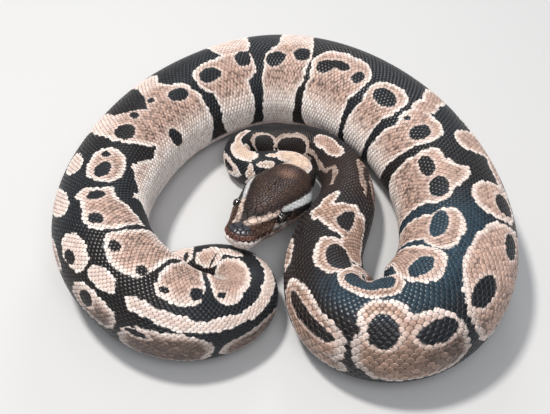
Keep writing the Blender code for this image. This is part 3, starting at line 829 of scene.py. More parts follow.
# %% Colour of the crown and the cheeks
def crown_tone(back, degrees, luck, below):
    """The brown crown, mottled, with a pale spot near the nape and a dark lower edge."""
    streaks = soft_noise(back * 0.8, degrees * 2.6, 21, 1.1) + 0.5 * soft_noise(
        back, degrees, 22, 3.5)
    mottle = 0.35 + 0.55 * streaks + 0.3 * (luck - 0.5)
    crown = blend(CROWN, CROWN_LIGHT, smoothstep(mottle) * 0.9)
    spot = bump(back - NAPE_SPOT_BACK, 2.6) * bump(degrees - NAPE_SPOT_ANGLE, 9.0)
    crown = blend(crown, CROWN_LIGHT * 4.0, 0.8 * spot)
    crown = blend(crown, SNOUT_DARK, falling(back, 19.0, 6.0) * 0.75)
    # painted blue sheen on the top of the snout's tip
    crown = blend(crown, SNOUT_BLUE_SHEEN, falling(back, 8.5, 2.5) * 0.8)
    edge = bump(below + 3.0, 1.6) * rising(back, 10.0, 6.0)
    crown = blend(crown, BAND, 0.7 * edge)
    return crown * (0.85 + 0.3 * luck - 0.2 * rising(back, 30.0, 15.0))[..., None]


def cheek_tone(back, luck, below):
    """The brown cheek and the black band above it."""
    cheek = blend(CHEEK, CROWN, luck) * (0.8 + 0.4 * luck)[..., None]
    cheek = blend(cheek, SNOUT_DARK, falling(back, 7.0, 3.0) * 0.5)
    band_half = np.interp(back, *BAND_HALF)
    band = smoothstep((band_half - below) / 1.2) * rising(back, 9.0, 4.0)
    return blend(cheek, BAND, band)


# %% Colour of any place on the head
def head_colour(back, degrees, luck):
    """Colour of a place on the head."""
    side = np.abs(degrees)
    radius = girth_radius(back - HEAD_LENGTH)
    edge = np.where(degrees > 0.0, np.interp(back, *BAND_EDGE_LEFT),
                    np.interp(back, *BAND_EDGE_RIGHT))
    below = (side - edge) * np.pi / 180.0 * radius
    crown = crown_tone(back, degrees, luck, below)
    colour = np.where((below > 0.0)[..., None], cheek_tone(back, luck, below), crown)
    from_eye = np.hypot(back - EYE_BACK, (side - EYE_SIDE) * np.pi / 180.0 * radius)
    colour = blend(colour, BAND, falling(from_eye, 4.5, 0.8))
    for courses, tone in ((LIP_PATCHES, LIP_GREY), (NAPE_LINES, NAPE_LINE),
                          (FACE_LINES, FACE_LINE)):
        inside = along_courses(courses, back, degrees, radius)
        tinted = tone * (0.92 + 0.16 * luck)[..., None]
        colour = blend(colour, tinted, smoothstep((inside + 0.25) / 0.5))
    return np.clip(colour, 0.003, 0.95)


def lower_head(colour, back, side, rise, luck):
    """The lower jaw and throat, which are white with a brown edge."""
    lips = rise - mouth_rise(back)
    under = smoothstep((-lips - 0.1) / 0.4)
    throat = rising(side, 112.0, 8.0) * rising(back, 34.0, 6.0)
    pale = np.maximum(under * falling(back, 46.0, 4.0), throat)
    patchy = 0.5 + 0.8 * soft_noise(back * 1.2, side, 33, 2.2)
    stain = rising(back, 5.5, 3.0) * smoothstep((6.5 + lips) / 3.0) * smoothstep(
        patchy + 0.9)
    front_lip = falling(back, 6.0, 2.5) * falling(lips, 3.0, 0.8) * (lips > 0.0)
    colour = blend(colour, LIP_RED * (0.7 + 0.6 * luck)[..., None], 0.8 * front_lip)
    tone = blend(CHIN * (0.9 + 0.15 * luck)[..., None], CHEEK, 0.85 * stain)
    return blend(colour, tone, pale)


print("crown at 40 mm:", head_colour(*np.array([[40.0], [0.0], [0.5]]))[0].round(3).tolist())

# %% [markdown]
# ## Mesh helpers
# The scales are tens of thousands of small closed shells.  Adding them one by one with
# operators would take minutes, so each mesh is filled from arrays in one go.

# %% Make a mesh from arrays
collection = bpy.data.collections.new("ball_python_looks")
bpy.context.scene.collection.children.link(collection)


def mesh_object(name, points, faces):
    """An object from points in millimetres and a list of equal-sided face arrays."""
    data = bpy.data.meshes.new(name)
    data.vertices.add(len(points))
    data.vertices.foreach_set("co", (np.asarray(points) * MM).ravel())
    sizes = np.concatenate([np.full(len(part), part.shape[1]) for part in faces])
    corners = np.concatenate([part.ravel() for part in faces])
    data.loops.add(len(corners))
    data.loops.foreach_set("vertex_index", corners.astype(np.int32))
    data.polygons.add(len(sizes))
    starts = np.concatenate([[0], np.cumsum(sizes)[:-1]])
    data.polygons.foreach_set("loop_start", starts.astype(np.int32))
    data.update(calc_edges=True)
    data.polygons.foreach_set("use_smooth", np.ones(len(sizes), bool))
    data.validate()
    piece = bpy.data.objects.new(name, data)
    collection.objects.link(piece)
    return piece


def face_outward(data):
    """Turns every face of closed shells to look outward."""
    work = bmesh.new()
    work.from_mesh(data)
    bmesh.ops.recalc_face_normals(work, faces=work.faces)
    work.to_mesh(data)
    work.free()


print("looks go into the collection", collection.name)


# %% Paint and unwrap a mesh
def paint(piece, name, colours):
    """A colour for each point of the mesh."""
    layer = piece.data.color_attributes.new(name, "FLOAT_COLOR", "POINT")
    rgba = np.ones((len(colours), 4))
    rgba[:, :3] = colours
    layer.data.foreach_set("color", rgba.ravel())


def unwrap(piece, places):
    """The map for baking, given as a place in the unit square for each point."""
    layer = piece.data.uv_layers.new(name="OFBake")
    corner = np.empty(len(piece.data.loops), np.int32)
    piece.data.loops.foreach_get("vertex_index", corner)
    layer.data.foreach_set("uv", places[corner].ravel())


def chart(s, degrees):
    """Where a place of the body lies on the flat unwrap of the whole skin."""
    along = (s + HEAD_LENGTH) / (TAIL_END + HEAD_LENGTH + 2.0)
    return np.column_stack([0.004 + 0.992 * along, 0.5 + 0.985 * degrees / 360.0])


print("the nape lies on the chart at", chart(np.zeros(1), np.zeros(1))[0].round(3).tolist())

# %% [markdown]
# ## Materials
# Scale keratin is smooth and a little waxy: it gives each domed scale one small hard light.
# Under a lens it is finely grained, which the bump gives.  The colour comes from the
# markings, broken up by fine and coarse noise.  Every finish of the animal needs the same
# wear, so that is one node group with its own value in each.

# %% Node helpers
def set_inputs(node, values):
    for socket, value in values.items():
        node.inputs[socket].default_value = value
    return node


def join(tree, wires):
    """Each wire is a node, its output, another node and its input."""
    for start, output, end, socket in wires:
        tree.links.new(start.outputs[output], end.inputs[socket])


def new_group(name, inputs, outputs):
    group = bpy.data.node_groups.new(name, "ShaderNodeTree")
    for label, kind, value in inputs:
        socket = group.interface.new_socket(label, in_out="INPUT", socket_type=kind)
        if value is not None:
            socket.default_value = value
    for label, kind in outputs:
        group.interface.new_socket(label, in_out="OUTPUT", socket_type=kind)
    return group, group.nodes.new("NodeGroupInput"), group.nodes.new("NodeGroupOutput")


# %% Wear of the scales, shared by every finish
def scale_wear_group():
    """Markings in; colour, roughness and fine relief out."""
    group, enter, leave = new_group(
        "scale_wear",
        [("Colour", "NodeSocketColor", (0.5, 0.5, 0.5, 1.0)), ("Gloss", "NodeSocketFloat", 0.3)],
        [("Colour", "NodeSocketColor"), ("Roughness", "NodeSocketFloat"),
         ("Height", "NodeSocketFloat")])
    nodes = group.nodes
    place = nodes.new("ShaderNodeTexCoord")
    coarse = set_inputs(nodes.new("ShaderNodeTexNoise"), {"Scale": 160.0, "Detail": 3.0})
    fine = set_inputs(nodes.new("ShaderNodeTexNoise"), {"Scale": 1500.0, "Detail": 4.0})
    shade = set_inputs(nodes.new("ShaderNodeMapRange"), {"To Min": 0.80, "To Max": 1.16})
    grain = set_inputs(nodes.new("ShaderNodeMapRange"),
                       {"From Min": 0.3, "From Max": 0.7, "To Min": 0.86, "To Max": 1.10})
    both = nodes.new("ShaderNodeMath")
    both.operation = "MULTIPLY"
    tint = nodes.new("ShaderNodeVectorMath")
    tint.operation = "SCALE"
    rough = set_inputs(nodes.new("ShaderNodeMath"), {1: 0.18})
    rough.operation = "MULTIPLY_ADD"
    join(group, [
        (place, "Object", coarse, "Vector"), (place, "Object", fine, "Vector"),
        (coarse, "Fac", shade, "Value"), (fine, "Fac", grain, "Value"),
        (shade, "Result", both, 0), (grain, "Result", both, 1),
        (enter, "Colour", tint, 0), (both, "Value", tint, "Scale"),
        (coarse, "Fac", rough, 0), (enter, "Gloss", rough, 2),
        (tint, "Vector", leave, "Colour"), (rough, "Value", leave, "Roughness"),
        (fine, "Fac", leave, "Height"),
    ])
    return group


scale_wear = scale_wear_group()
print("group:", scale_wear.name, "with", len(scale_wear.nodes), "nodes")


# %% A finish that shows the markings
GRAIN_HEIGHT = 0.08 * MM


def hide_material(name, gloss, relief, shade=1.0, specular=0.5):
    """A material that shows the markings painted on a piece."""
    material = bpy.data.materials.new(name)
    material.use_nodes = True
    nodes = material.node_tree.nodes
    finish = set_inputs(nodes["Principled BSDF"], {"Specular IOR Level": specular})
    marks = nodes.new("ShaderNodeVertexColor")
    marks.layer_name = "Markings"
    wear = nodes.new("ShaderNodeGroup")
    wear.node_tree = scale_wear
    darker = nodes.new("ShaderNodeMix")
    darker.data_type = "RGBA"
    darker.blend_type = "MULTIPLY"
    raised = nodes.new("ShaderNodeBump")
    set_inputs(wear, {"Gloss": gloss})
    set_inputs(darker, {"Factor": 1.0, "B": (shade, shade, shade, 1.0)})
    set_inputs(raised, {"Strength": relief, "Distance": GRAIN_HEIGHT})
    join(material.node_tree, [
        (marks, "Color", darker, "A"), (darker, "Result", wear, "Colour"),
        (wear, "Colour", finish, "Base Color"), (wear, "Roughness", finish, "Roughness"),
        (wear, "Height", raised, "Height"), (raised, "Normal", finish, "Normal"),
    ])
    return material

# %% [markdown]
# ## Skin
# The soft skin between the scales is one closed bag from the lips to the tip of the tail.
# One loft over the whole animal leaves no seam at the nape and closes off the light between
# the scales.  Its rings are close together on the head, where the forms are small.

# %% Rings of the skin
SKIN_POINTS = 128  # points round each ring
BODY_RINGS, SNOUT_RINGS = 440, 14
HEAD_RING_STEP = 0.45


def skin_stations():
    """Distances at which the skin has a ring."""
    front = (1.0 - np.cos(np.linspace(0.12, math.pi / 2.0, SNOUT_RINGS))) * SNOUT_ROUND
    head = np.arange(SNOUT_ROUND + HEAD_RING_STEP, HEAD_LENGTH - 0.3, HEAD_RING_STEP)
    body = np.linspace(0.0, TAIL_END, BODY_RINGS)
    return np.concatenate([front - HEAD_LENGTH, head - HEAD_LENGTH, body])


def closed_loft(rings, ends=None):
    """Points and faces of rings closed by one point at each end, in their middle or given."""
    count, size = rings.shape[:2]
    ends = [rings[0].mean(0), rings[-1].mean(0)] if ends is None else ends
    points = np.vstack([rings.reshape(-1, 3), ends])
    k = np.arange(size)
    after = (k + 1) % size
    ring = np.arange(count - 1)[:, None] * size
    quads = np.stack([ring + k, ring + after, ring + size + after, ring + size + k], -1)
    first, last = count * size, count * size + 1
    front = np.column_stack([np.full(size, first), after, k])
    end = (count - 1) * size
    rear = np.column_stack([np.full(size, last), end + k, end + after])
    return points, [quads.reshape(-1, 4), np.vstack([front, rear])]


round_body = np.arange(SKIN_POINTS) * 2.0 * math.pi / SKIN_POINTS
skin_s, skin_angle = np.meshgrid(skin_stations(), round_body, indexing="ij")
skin_points, skin_faces = closed_loft(lifted(skin_s, skin_angle, np.zeros_like(skin_s)))
skin = mesh_object("skin", skin_points, skin_faces)
print("skin: %d rings, %d points" % (len(skin_s), len(skin_points)))

# %% [markdown]
# ## Colour over the nape
# Head and body are coloured by their own rules, which are blended over a few millimetres at
# the nape, or a line would show there.

# %% Colour of any place on the animal
NAPE_BLEND_FROM, NAPE_BLEND_LENGTH = -1.5, 3.0


def wrapped_degrees(angle):
    return (np.degrees(angle) + 180.0) % 360.0 - 180.0


def colour_at(s, angle, luck, fleck=0.25):
    """Colour of any place, head or body, blended over the nape."""
    degrees = wrapped_degrees(angle)
    colour = body_colour(s, degrees, luck, fleck)
    on_head = s < NAPE_BLEND_FROM + NAPE_BLEND_LENGTH
    if on_head.any():
        back = s[on_head] + HEAD_LENGTH
        face = head_colour(back, degrees[on_head], luck[on_head])
        rise = (surface(s[on_head], angle[on_head]) - SNOUT) @ HEAD_UP
        face = lower_head(face, back, np.abs(degrees[on_head]), rise, luck[on_head])
        share = smoothstep((s[on_head] - NAPE_BLEND_FROM) / NAPE_BLEND_LENGTH)
        colour[on_head] = blend(face, colour[on_head], share)
    return colour


EVEN_LUCK = 0.5  # the luck of a place that belongs to no scale
print("colour at the nape:",
      colour_at(np.zeros(1), np.zeros(1), np.full(1, EVEN_LUCK))[0].round(2).tolist())

# %% Paint the skin
flat_s, flat_angle = skin_s.ravel(), skin_angle.ravel()
skin_colours = colour_at(flat_s, flat_angle, np.full(flat_s.shape, EVEN_LUCK))
skin_colours = np.vstack([skin_colours, skin_colours[:1], skin_colours[-1:]])
paint(skin, "Markings", skin_colours)
skin.data.materials.append(hide_material("soft_skin", gloss=0.5, relief=0.5, shade=0.5,
                                         specular=0.2))
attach(skin, "root")
flesh = [name for name in frame["nodes"] if not name.startswith("eye")]
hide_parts(*flesh)
print("the skin replaces", ", ".join(flesh))

# %% [markdown]
# ## Rows of scales
# A ball python has 53 to 63 rows of scales round its middle, fewer on the neck and far
# fewer on the tail.  This coat has 66, because with fewer the scales looked too coarse for
# the body.  Rows don't change width suddenly: where the body grows, a pair of new rows
# starts between two old ones.  Each row has a weight that grows from nothing to one where
# the row begins, and the rows share the girth by weight.

# %% Weights of the rows
ROWS = 66
BACK_SPAN = 147.0  # the rows reach this many degrees down from the back
BACK_ROW, LOW_ROW = 0.78, 1.30  # rows of the back are narrow, the lowest rows broad
NECK_PAIRS = (4, 8, 12, 16, 20, 24, 28)
NECK_FIRST, NECK_STEP, NECK_GROWTH = 140.0, 24.0, 16.0
TAIL_PAIRS = (3, 6, 9, 12, 15, 18, 21, 25, 28)
TAIL_FIRST, TAIL_STEP, TAIL_FADE = 640.0, 11.0, 14.0


def narrow_pair(weights, pair, share):
    """Brings two neighbouring rows of each flank down to a share of their weight."""
    for row in (pair, pair + 1):
        weights[:, row] *= share
        weights[:, ROWS - 1 - row] *= share


def row_weights(s):
    """Weight of every row at each distance, as an array of distances by rows."""
    low = np.abs(np.arange(ROWS) - (ROWS - 1) / 2.0) / (ROWS / 2.0)
    weights = np.ones((len(s), 1)) * (BACK_ROW + (LOW_ROW - BACK_ROW) * smoothstep(low))
    for step, pair in enumerate(NECK_PAIRS):
        begins = NECK_FIRST + NECK_STEP * ((step * 2) % len(NECK_PAIRS))
        narrow_pair(weights, pair, smoothstep((s - begins) / NECK_GROWTH))
    for step, pair in enumerate(TAIL_PAIRS):
        ends = TAIL_FIRST + TAIL_STEP * ((step * 2) % len(TAIL_PAIRS))
        narrow_pair(weights, pair, 1.0 - smoothstep((s - ends) / TAIL_FADE))
    return weights


row_s = np.arange(-4.0, TAIL_END - 1.0, 1.0)
weights = row_weights(row_s)
shown = (weights > 0.45).sum(1)
print("scale rows: %d on the neck, %d at the middle, %d on the tail"
      % (shown[10], shown[300], shown[-10]))

# %% [markdown]
# ## Places along the rows
# Counting how many scales fit up to each distance turns an uneven spacing into whole steps:
# every scale then stands where the count reaches its own number.  In a bend the scales are
# laid closer together, because its outer side stretches the spacing.

# %% Spacing along the rows
LENGTH_SHARE = 1.42  # length of a scale's place against the width of its row
GIRTH_SHARE = 1.03  # the girth against that of a circle of the mean radius
LEAST_WIDTH = 0.55
sums = weights.sum(1)
edges = np.concatenate([np.zeros((len(row_s), 1)), np.cumsum(weights, 1)], 1) / sums[:, None]
row_middle = (edges[:, 1:] + edges[:, :-1]) * BACK_SPAN - BACK_SPAN
row_half = weights / sums[:, None] * BACK_SPAN
row_width = 2.0 * math.pi * girth_radius(row_s) * (BACK_SPAN / 180.0) / sums * GIRTH_SHARE
outer_reach = np.abs(np.interp(row_s, body_s, bend_of_body)) * girth_radius(row_s)
pitch = LENGTH_SHARE * np.maximum(row_width, LEAST_WIDTH) / (1.0 + outer_reach) ** 0.55
count_along = np.concatenate([[0.0], np.cumsum(1.0 / pitch[:-1])])
print("scale length %.1f to %.1f mm" % (pitch.min(), pitch.max()))

# %% [markdown]
# ## One scale
# A scale is a low dome with its front edge under the scale before it and a free rounded
# rear edge that lies on the one behind.  It is a closed shell: a rim of ten points, a
# smaller ring on top and a crown point.  Copies of one mesh would stand off a curved flank,
# so each scale is bent onto the surface point by point.

# %% Shape of a scale
RIM = np.array([(-0.50, 0.0), (-0.35, 0.42), (-0.07, 0.76), (0.22, 0.70), (0.45, 0.38),
                (0.57, 0.0), (0.45, -0.38), (0.22, -0.70), (-0.07, -0.76), (-0.35, -0.42)])
CROWN_RING = RIM * 0.62 + np.array([0.02, 0.0])
RIM_HEIGHT = np.interp(RIM[:, 0], [-0.52, 0.0, 0.6], [-0.03, 0.07, 0.15])
RING_HEIGHT = np.interp(CROWN_RING[:, 0], [-0.32, 0.0, 0.4], [0.22, 0.29, 0.30])
SCALE_PLAN = np.vstack([RIM, CROWN_RING, [(0.03, 0.0)]])
SCALE_HEIGHT = np.concatenate([RIM_HEIGHT, RING_HEIGHT, [0.33]])
RIM_POINTS = len(RIM)
rim = np.arange(RIM_POINTS)
rim_next = (rim + 1) % RIM_POINTS
SCALE_QUADS = np.column_stack([rim, rim_next, RIM_POINTS + rim_next, RIM_POINTS + rim])
SCALE_FAN = np.column_stack([RIM_POINTS + rim, RIM_POINTS + rim_next,
                             np.full(RIM_POINTS, 2 * RIM_POINTS)])
SCALE_BASE = rim[::-1][None, :]


def scale_shells(s, angle, forward, sideways, thick):
    """Places and points of many scales; forward is in millimetres, sideways in radians."""
    a, b = SCALE_PLAN[:, 0], SCALE_PLAN[:, 1]
    at_s = s[:, None] + a * forward[:, None]
    at_angle = angle[:, None] + b * sideways[:, None]
    height = SCALE_HEIGHT * thick[:, None]
    return at_s, at_angle, lifted(at_s, at_angle, height)


def shell_faces(count):
    """Faces of so many scales."""
    step = np.arange(count)[:, None, None] * len(SCALE_PLAN)
    return [(part[None] + step).reshape(-1, part.shape[1])
            for part in (SCALE_QUADS, SCALE_FAN, SCALE_BASE)]


print("one scale: %d points" % len(SCALE_PLAN))

# %% [markdown]
# ## Laying the rows
# Neighbouring rows are half a scale out of step, like bricks.  Each scale is given its luck,
# a number that later makes it a little lighter, darker or more dusted than the next.

# %% Lay the scales along every row
def lay_rows():
    """Distance, row angle and size of every scale on the back and flanks."""
    places = []
    for row in range(ROWS):
        first = 0.25 if row % 2 else 0.75
        counts = np.arange(first, count_along[-1], 1.0)
        s = np.interp(counts, count_along, row_s)
        middle = np.interp(s, row_s, row_middle[:, row])
        half = np.interp(s, row_s, row_half[:, row])
        long = np.interp(s, row_s, pitch)
        full = np.interp(s, row_s, weights[:, row])
        keep = (full > 0.55 * BACK_ROW) & (s > -1.6)
        places.append(np.column_stack([s, middle, half, long, np.full(len(s), row)])[keep])
    return np.vstack(places)


laid = lay_rows()
laid = laid[np.argsort(laid[:, 0], kind="stable")]
scale_angle = np.radians(laid[:, 1] + back_angle(laid[:, 0]))
dice = np.random.default_rng(11)
luck = dice.uniform(0.0, 1.0, len(laid))
print("scales on the body:", len(laid))

# %% [markdown]
# ## Colour within a scale
# A pale scale is browner in the middle and creamy at its rim, and a dark one is blackest in
# the middle.  Three tones on one small dome are enough, so they are given to its points.

# %% Tones of the points of a scale
COLOUR_REACH = 0.7  # how far from its middle a scale looks for its colours
PART_OF_SCALE = np.concatenate([np.zeros(RIM_POINTS), np.full(RIM_POINTS, 0.75), [1.0]])


def tip_colours(base, part_of_scale, seam):
    """The crown of a pale scale is browner than its rim; a dark one is blackest there."""
    bright = base.mean(-1, keepdims=True)
    pale = rising(bright, 0.12, 0.2)
    crown = base * np.array((0.88, 0.80, 0.75))
    rim = np.minimum(base * 1.25 + 0.05, 0.92)
    toned = crown * part_of_scale + rim * (1.0 - part_of_scale)
    inner = np.minimum(part_of_scale * 1.4, 1.0)
    dusky = base * 0.3 * inner + (base * 0.6 + DARK_RIM * seam) * (1.0 - inner)
    return dusky * (1.0 - pale) + toned * pale


def dusted(lucks):
    """How much brown dust lies on each point: some scales have none, others half a crown."""
    turn = 2.0 * np.pi * ((lucks * 17.0) % 1.0)
    dusting = smoothstep(((lucks * 13.0) % 1.0 - 0.25) / 0.35)[:, None]
    lean = np.cos(turn)[:, None] * SCALE_PLAN[:, 0] + np.sin(turn)[:, None] * SCALE_PLAN[:, 1]
    return dusting * smoothstep(0.5 + 1.5 * lean) * (0.45 + 0.55 * PART_OF_SCALE)


def scale_colours(chosen, at_s, at_angle):
    """Colours of every point; a scale on the edge of a field may be pale on one part."""
    s, angle = laid[chosen, 0], scale_angle[chosen]
    part_s = s[:, None] + COLOUR_REACH * (at_s - s[:, None])
    part_angle = angle[:, None] + COLOUR_REACH * (at_angle - angle[:, None])
    lucky = np.repeat(luck[chosen], len(SCALE_PLAN))
    base = colour_at(part_s.ravel(), part_angle.ravel(), lucky, dusted(luck[chosen]).ravel())
    warm = window(s, *WARM_RIMS)[:, None, None]
    seam = 1.0 + warm * RIM_WARMTH
    return tip_colours(base.reshape(len(s), -1, 3), PART_OF_SCALE[None, :, None], seam)

# %% [markdown]
# ## Coat
# One mesh would look the same, but lengths like the solid part's stay light to handle.

# %% Build the coat
COAT_ENDS = [("neck", 82.0), ("trunk_1", 140.0), ("trunk_2", 196.0), ("trunk_3", 256.0),
             ("trunk_4", 330.0), ("trunk_5", 410.0), ("trunk_6", 490.0), ("trunk_7", 575.0),
             ("trunk_8", 655.0), ("trunk_9", 720.0), ("tail", 999.0)]
FULL_THICKNESS = 2.7  # a scale this long has its full thickness
COAT_CLEARANCE = 0.03  # the coat's lowest points stay this far above the floor
BAKE_PATCH = np.array((0.0026, 0.0022))
scale_hide = hide_material("scale_keratin", gloss=0.22, relief=0.35, specular=0.29)


def coat_piece(name, chosen):
    """One length of the coat, as a mesh of separate scales."""
    s, _, half, long, _ = laid[chosen].T
    thick = np.clip(long / FULL_THICKNESS, 0.45, 1.1)
    at_s, at_angle, points = scale_shells(s, scale_angle[chosen], long,
                                          np.radians(half * 2.0), thick)
    points[..., 2] = np.maximum(points[..., 2], COAT_CLEARANCE)
    piece = mesh_object("scales_" + name, points.reshape(-1, 3), shell_faces(len(s)))
    colours = scale_colours(chosen, at_s, at_angle)
    paint(piece, "Markings", colours.reshape(-1, 3))
    root = chart(s, wrapped_degrees(scale_angle[chosen]))
    patch = SCALE_PLAN * BAKE_PATCH
    unwrap(piece, (root[:, None, :] + patch[None]).reshape(-1, 2))
    piece.data.materials.append(scale_hide)
    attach(piece, "root")
    return piece


coat = []
start = -99.0
for name, end in COAT_ENDS:
    chosen = (laid[:, 0] >= start) & (laid[:, 0] < end)
    coat.append(coat_piece(name, chosen))
    start = end
triangles = [sum(len(p.vertices) - 2 for p in piece.data.polygons) for piece in coat]
print("coat:", len(coat), "pieces,", sum(triangles), "triangles, largest", max(triangles))

# %% [markdown]
# ## Belly plates
# A snake walks on one row of broad plates, each as wide as the belly, and under the tail
# on a double row.  They overlap like roof tiles, with the free edge to the rear.

# %% Shape of the belly plates
BELLY_HALF = 34.0  # half the belly's width in degrees
PLATE_POINTS = 13  # points across a plate
PLATE_ENDS = np.array([-0.10, 0.12, 0.62, 1.06, 1.12])
PLATE_TOPS = np.array([0.02, 0.16, 0.24, 0.24, 0.13])
PLATE_THICKNESS = 0.16


def broad_plates(starts, lengths, centre_angle, half_angle):
    """Curved plates across the belly, each a closed shell."""
    across = np.linspace(-1.0, 1.0, PLATE_POINTS)
    rounding = np.sqrt(np.maximum(1.0 - np.abs(across) ** 6, 0.0))
    a = PLATE_ENDS[:, None] * (0.86 + 0.14 * rounding)[None, :]
    s = starts[:, None, None] + lengths[:, None, None] * a
    wide = np.radians(half_angle)[:, None, None] * across
    angle = np.radians(centre_angle)[:, None, None] + wide
    angle = np.broadcast_to(angle, s.shape)
    height = np.broadcast_to(PLATE_TOPS[:, None] * (0.35 + 0.65 * rounding), s.shape)
    shell = [lifted(s, angle, height), lifted(s, angle, height - PLATE_THICKNESS)]
    return s, angle, np.stack(shell, 1)


def grid_shell_faces(count, long, wide):
    """Faces of closed shells made of two grids of points and a rim."""
    i, j = np.meshgrid(np.arange(long - 1), np.arange(wide - 1), indexing="ij")
    corner = (i * wide + j).ravel()
    upper = np.column_stack([corner, corner + wide, corner + wide + 1, corner + 1])
    size = long * wide
    lower = upper[:, ::-1] + size
    loop = np.concatenate([np.arange(wide), np.arange(1, long) * wide + wide - 1,
                           np.arange(wide - 2, -1, -1) + (long - 1) * wide,
                           np.arange(long - 2, 0, -1) * wide])
    after = np.roll(loop, -1)
    rim = np.column_stack([loop, after, after + size, loop + size])
    faces = np.vstack([upper, lower, rim])
    step = np.arange(count)[:, None, None] * 2 * size
    return (faces[None] + step).reshape(-1, 4)


# %% Places of the belly plates
VENT = 706.0
FIRST_PLATE = 3.0  # by the count along the rows, so just behind the nape
BELLY_PITCH = ([0.0, 60.0, 250.0, 600.0, 700.0], [2.6, 2.6, 4.0, 3.9, 3.0])
TAIL_PITCH = 1.75
MIDDLE_SEAM = 0.6  # degrees left bare beside the seam under the tail
LAST_PLATE_FROM_TIP = 2.0


def belly_shells():
    """Shells of the single row before the vent and of the double row behind it."""
    plate_pitch = np.interp(row_s, *BELLY_PITCH)
    count = np.concatenate([[0.0], np.cumsum(1.0 / plate_pitch[:-1])])
    starts = np.interp(np.arange(FIRST_PLATE, np.interp(VENT, row_s, count)), count, row_s)
    lengths = np.interp(starts, row_s, plate_pitch)
    middle = back_angle(starts) + 180.0
    shells = [broad_plates(starts, lengths, middle, np.full(len(starts), BELLY_HALF))]
    starts = VENT + TAIL_PITCH * np.arange(1.0, 40.0)
    starts = starts[starts < TAIL_END - LAST_PLATE_FROM_TIP]
    lengths = np.full(len(starts), TAIL_PITCH)
    half = np.full(len(starts), BELLY_HALF / 2.0 - MIDDLE_SEAM)
    for side in (-1.0, 1.0):
        middle = back_angle(starts) + 180.0 + side * BELLY_HALF / 2.0
        shells.append(broad_plates(starts, lengths, middle, half))
    return [np.concatenate(parts) for parts in zip(*shells)]


# %% Build the belly plates
BELLY_CLEARANCE = 0.02
BAKE_LONG, BAKE_WIDE = 0.0013, 0.012


def belly_piece():
    """All belly plates as one mesh, each plate in one tone."""
    s, angle, points = belly_shells()
    points[..., 2] = np.maximum(points[..., 2], BELLY_CLEARANCE)
    count, long, wide = s.shape
    piece = mesh_object("belly_plates", points.reshape(-1, 3),
                        [grid_shell_faces(count, long, wide)])
    lucky = np.repeat(dice.uniform(0.0, 1.0, count), long * wide)
    tone = body_colour(s.ravel(), wrapped_degrees(angle.ravel()), lucky)
    tone = tone.reshape(count, 1, long * wide, 3).repeat(2, 1)
    paint(piece, "Markings", tone.reshape(-1, 3))
    root = chart(s[:, 0, wide // 2], wrapped_degrees(angle[:, 0, wide // 2]))
    local = np.stack(np.meshgrid(np.linspace(-BAKE_LONG, BAKE_LONG, long),
                                 np.linspace(-BAKE_WIDE, BAKE_WIDE, wide), indexing="ij"), -1)
    places = root[:, None, None, None, :] + local[None, None]
    unwrap(piece, places.repeat(2, 1).reshape(-1, 2))
    return piece, count


belly, belly_count = belly_piece()
belly.data.materials.append(hide_material("belly_keratin", gloss=0.2, relief=0.2))
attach(belly, "root")
print("belly plates:", belly_count)

# %% [markdown]
# ## Plates of the head
# Snakes of this kind have a few large plates on the snout, one row of lip plates above and
# below the mouth, a ring of small ones round each eye and small pebbled ones on the crown.
# Each plate is the ground nearer to its own middle than to any neighbour's, so they meet in
# narrow seams.  Drawn outlines would leave gaps and overlaps, while cells round chosen
# middles always fit together.  Lip plates near the snout hold the heat pits.

# %% Course of the lips
LIPS_END = 41.0  # the last lip plate ends before the corner of the mouth


def angle_at_rise(back, rise):
    """Angle at which the head's plain section reaches a height above its axis."""
    top, bottom, above, below = [table_at(back - HEAD_LENGTH, column)
                                 for column in (TOP, BOTTOM, POWER_ABOVE, POWER_BELOW)]
    if rise >= 0.0:
        return math.acos(min(1.0, (rise / top)) ** (above / 2.0))
    return math.acos(-min(1.0, (-rise / bottom)) ** (below / 2.0))


def lip_course(offset):
    """Places along a lip, with the length run from the middle of the snout."""
    round_snout = np.linspace(0.02, 1.0, 40) ** 2 * 4.0
    kept, angles = [], []
    for back in np.concatenate([round_snout, np.arange(4.2, LIPS_END, 0.2)]):
        rise = float(mouth_rise(back)) + offset
        limit = table_at(back - HEAD_LENGTH, TOP if rise >= 0 else BOTTOM)
        if abs(rise) < limit * 0.995:
            kept.append(back)
            angles.append(angle_at_rise(back, rise))
    kept, angles = np.array(kept), np.array(angles)
    points = on_skin(kept, angles)
    run = np.concatenate([[0.0], np.cumsum(np.linalg.norm(np.diff(points, axis=0), axis=1))])
    start = abs((points[0] - SNOUT) @ HEAD_LEFT)
    return kept, angles, run + start


print("upper lip: %.0f mm on each side" % lip_course(1.55)[2][-1])


# %% Places of the named plates
seeds = []  # distance from the lips, angle, radius and kind of each


def place_plate(back, degrees, radius, kind):
    """One plate on the middle line, or else one on each side."""
    for side in ((1.0, -1.0) if degrees % 180.0 else (1.0,)):
        seeds.append((back, side * math.radians(degrees), radius, kind))


def lip_row(offset, middle_half, widths, radius, pits):
    """Plates along a lip, from the middle one's edge; some hold a heat pit."""
    backs, angles, run = lip_course(offset)
    at = middle_half
    for step, wide in enumerate(widths):
        place = at + wide / 2.0
        at += wide
        if place > run[-1]:
            break
        back, angle = np.interp(place, run, backs), np.interp(place, run, angles)
        place_plate(back, math.degrees(angle), radius, "pit" if step in pits else "lip")


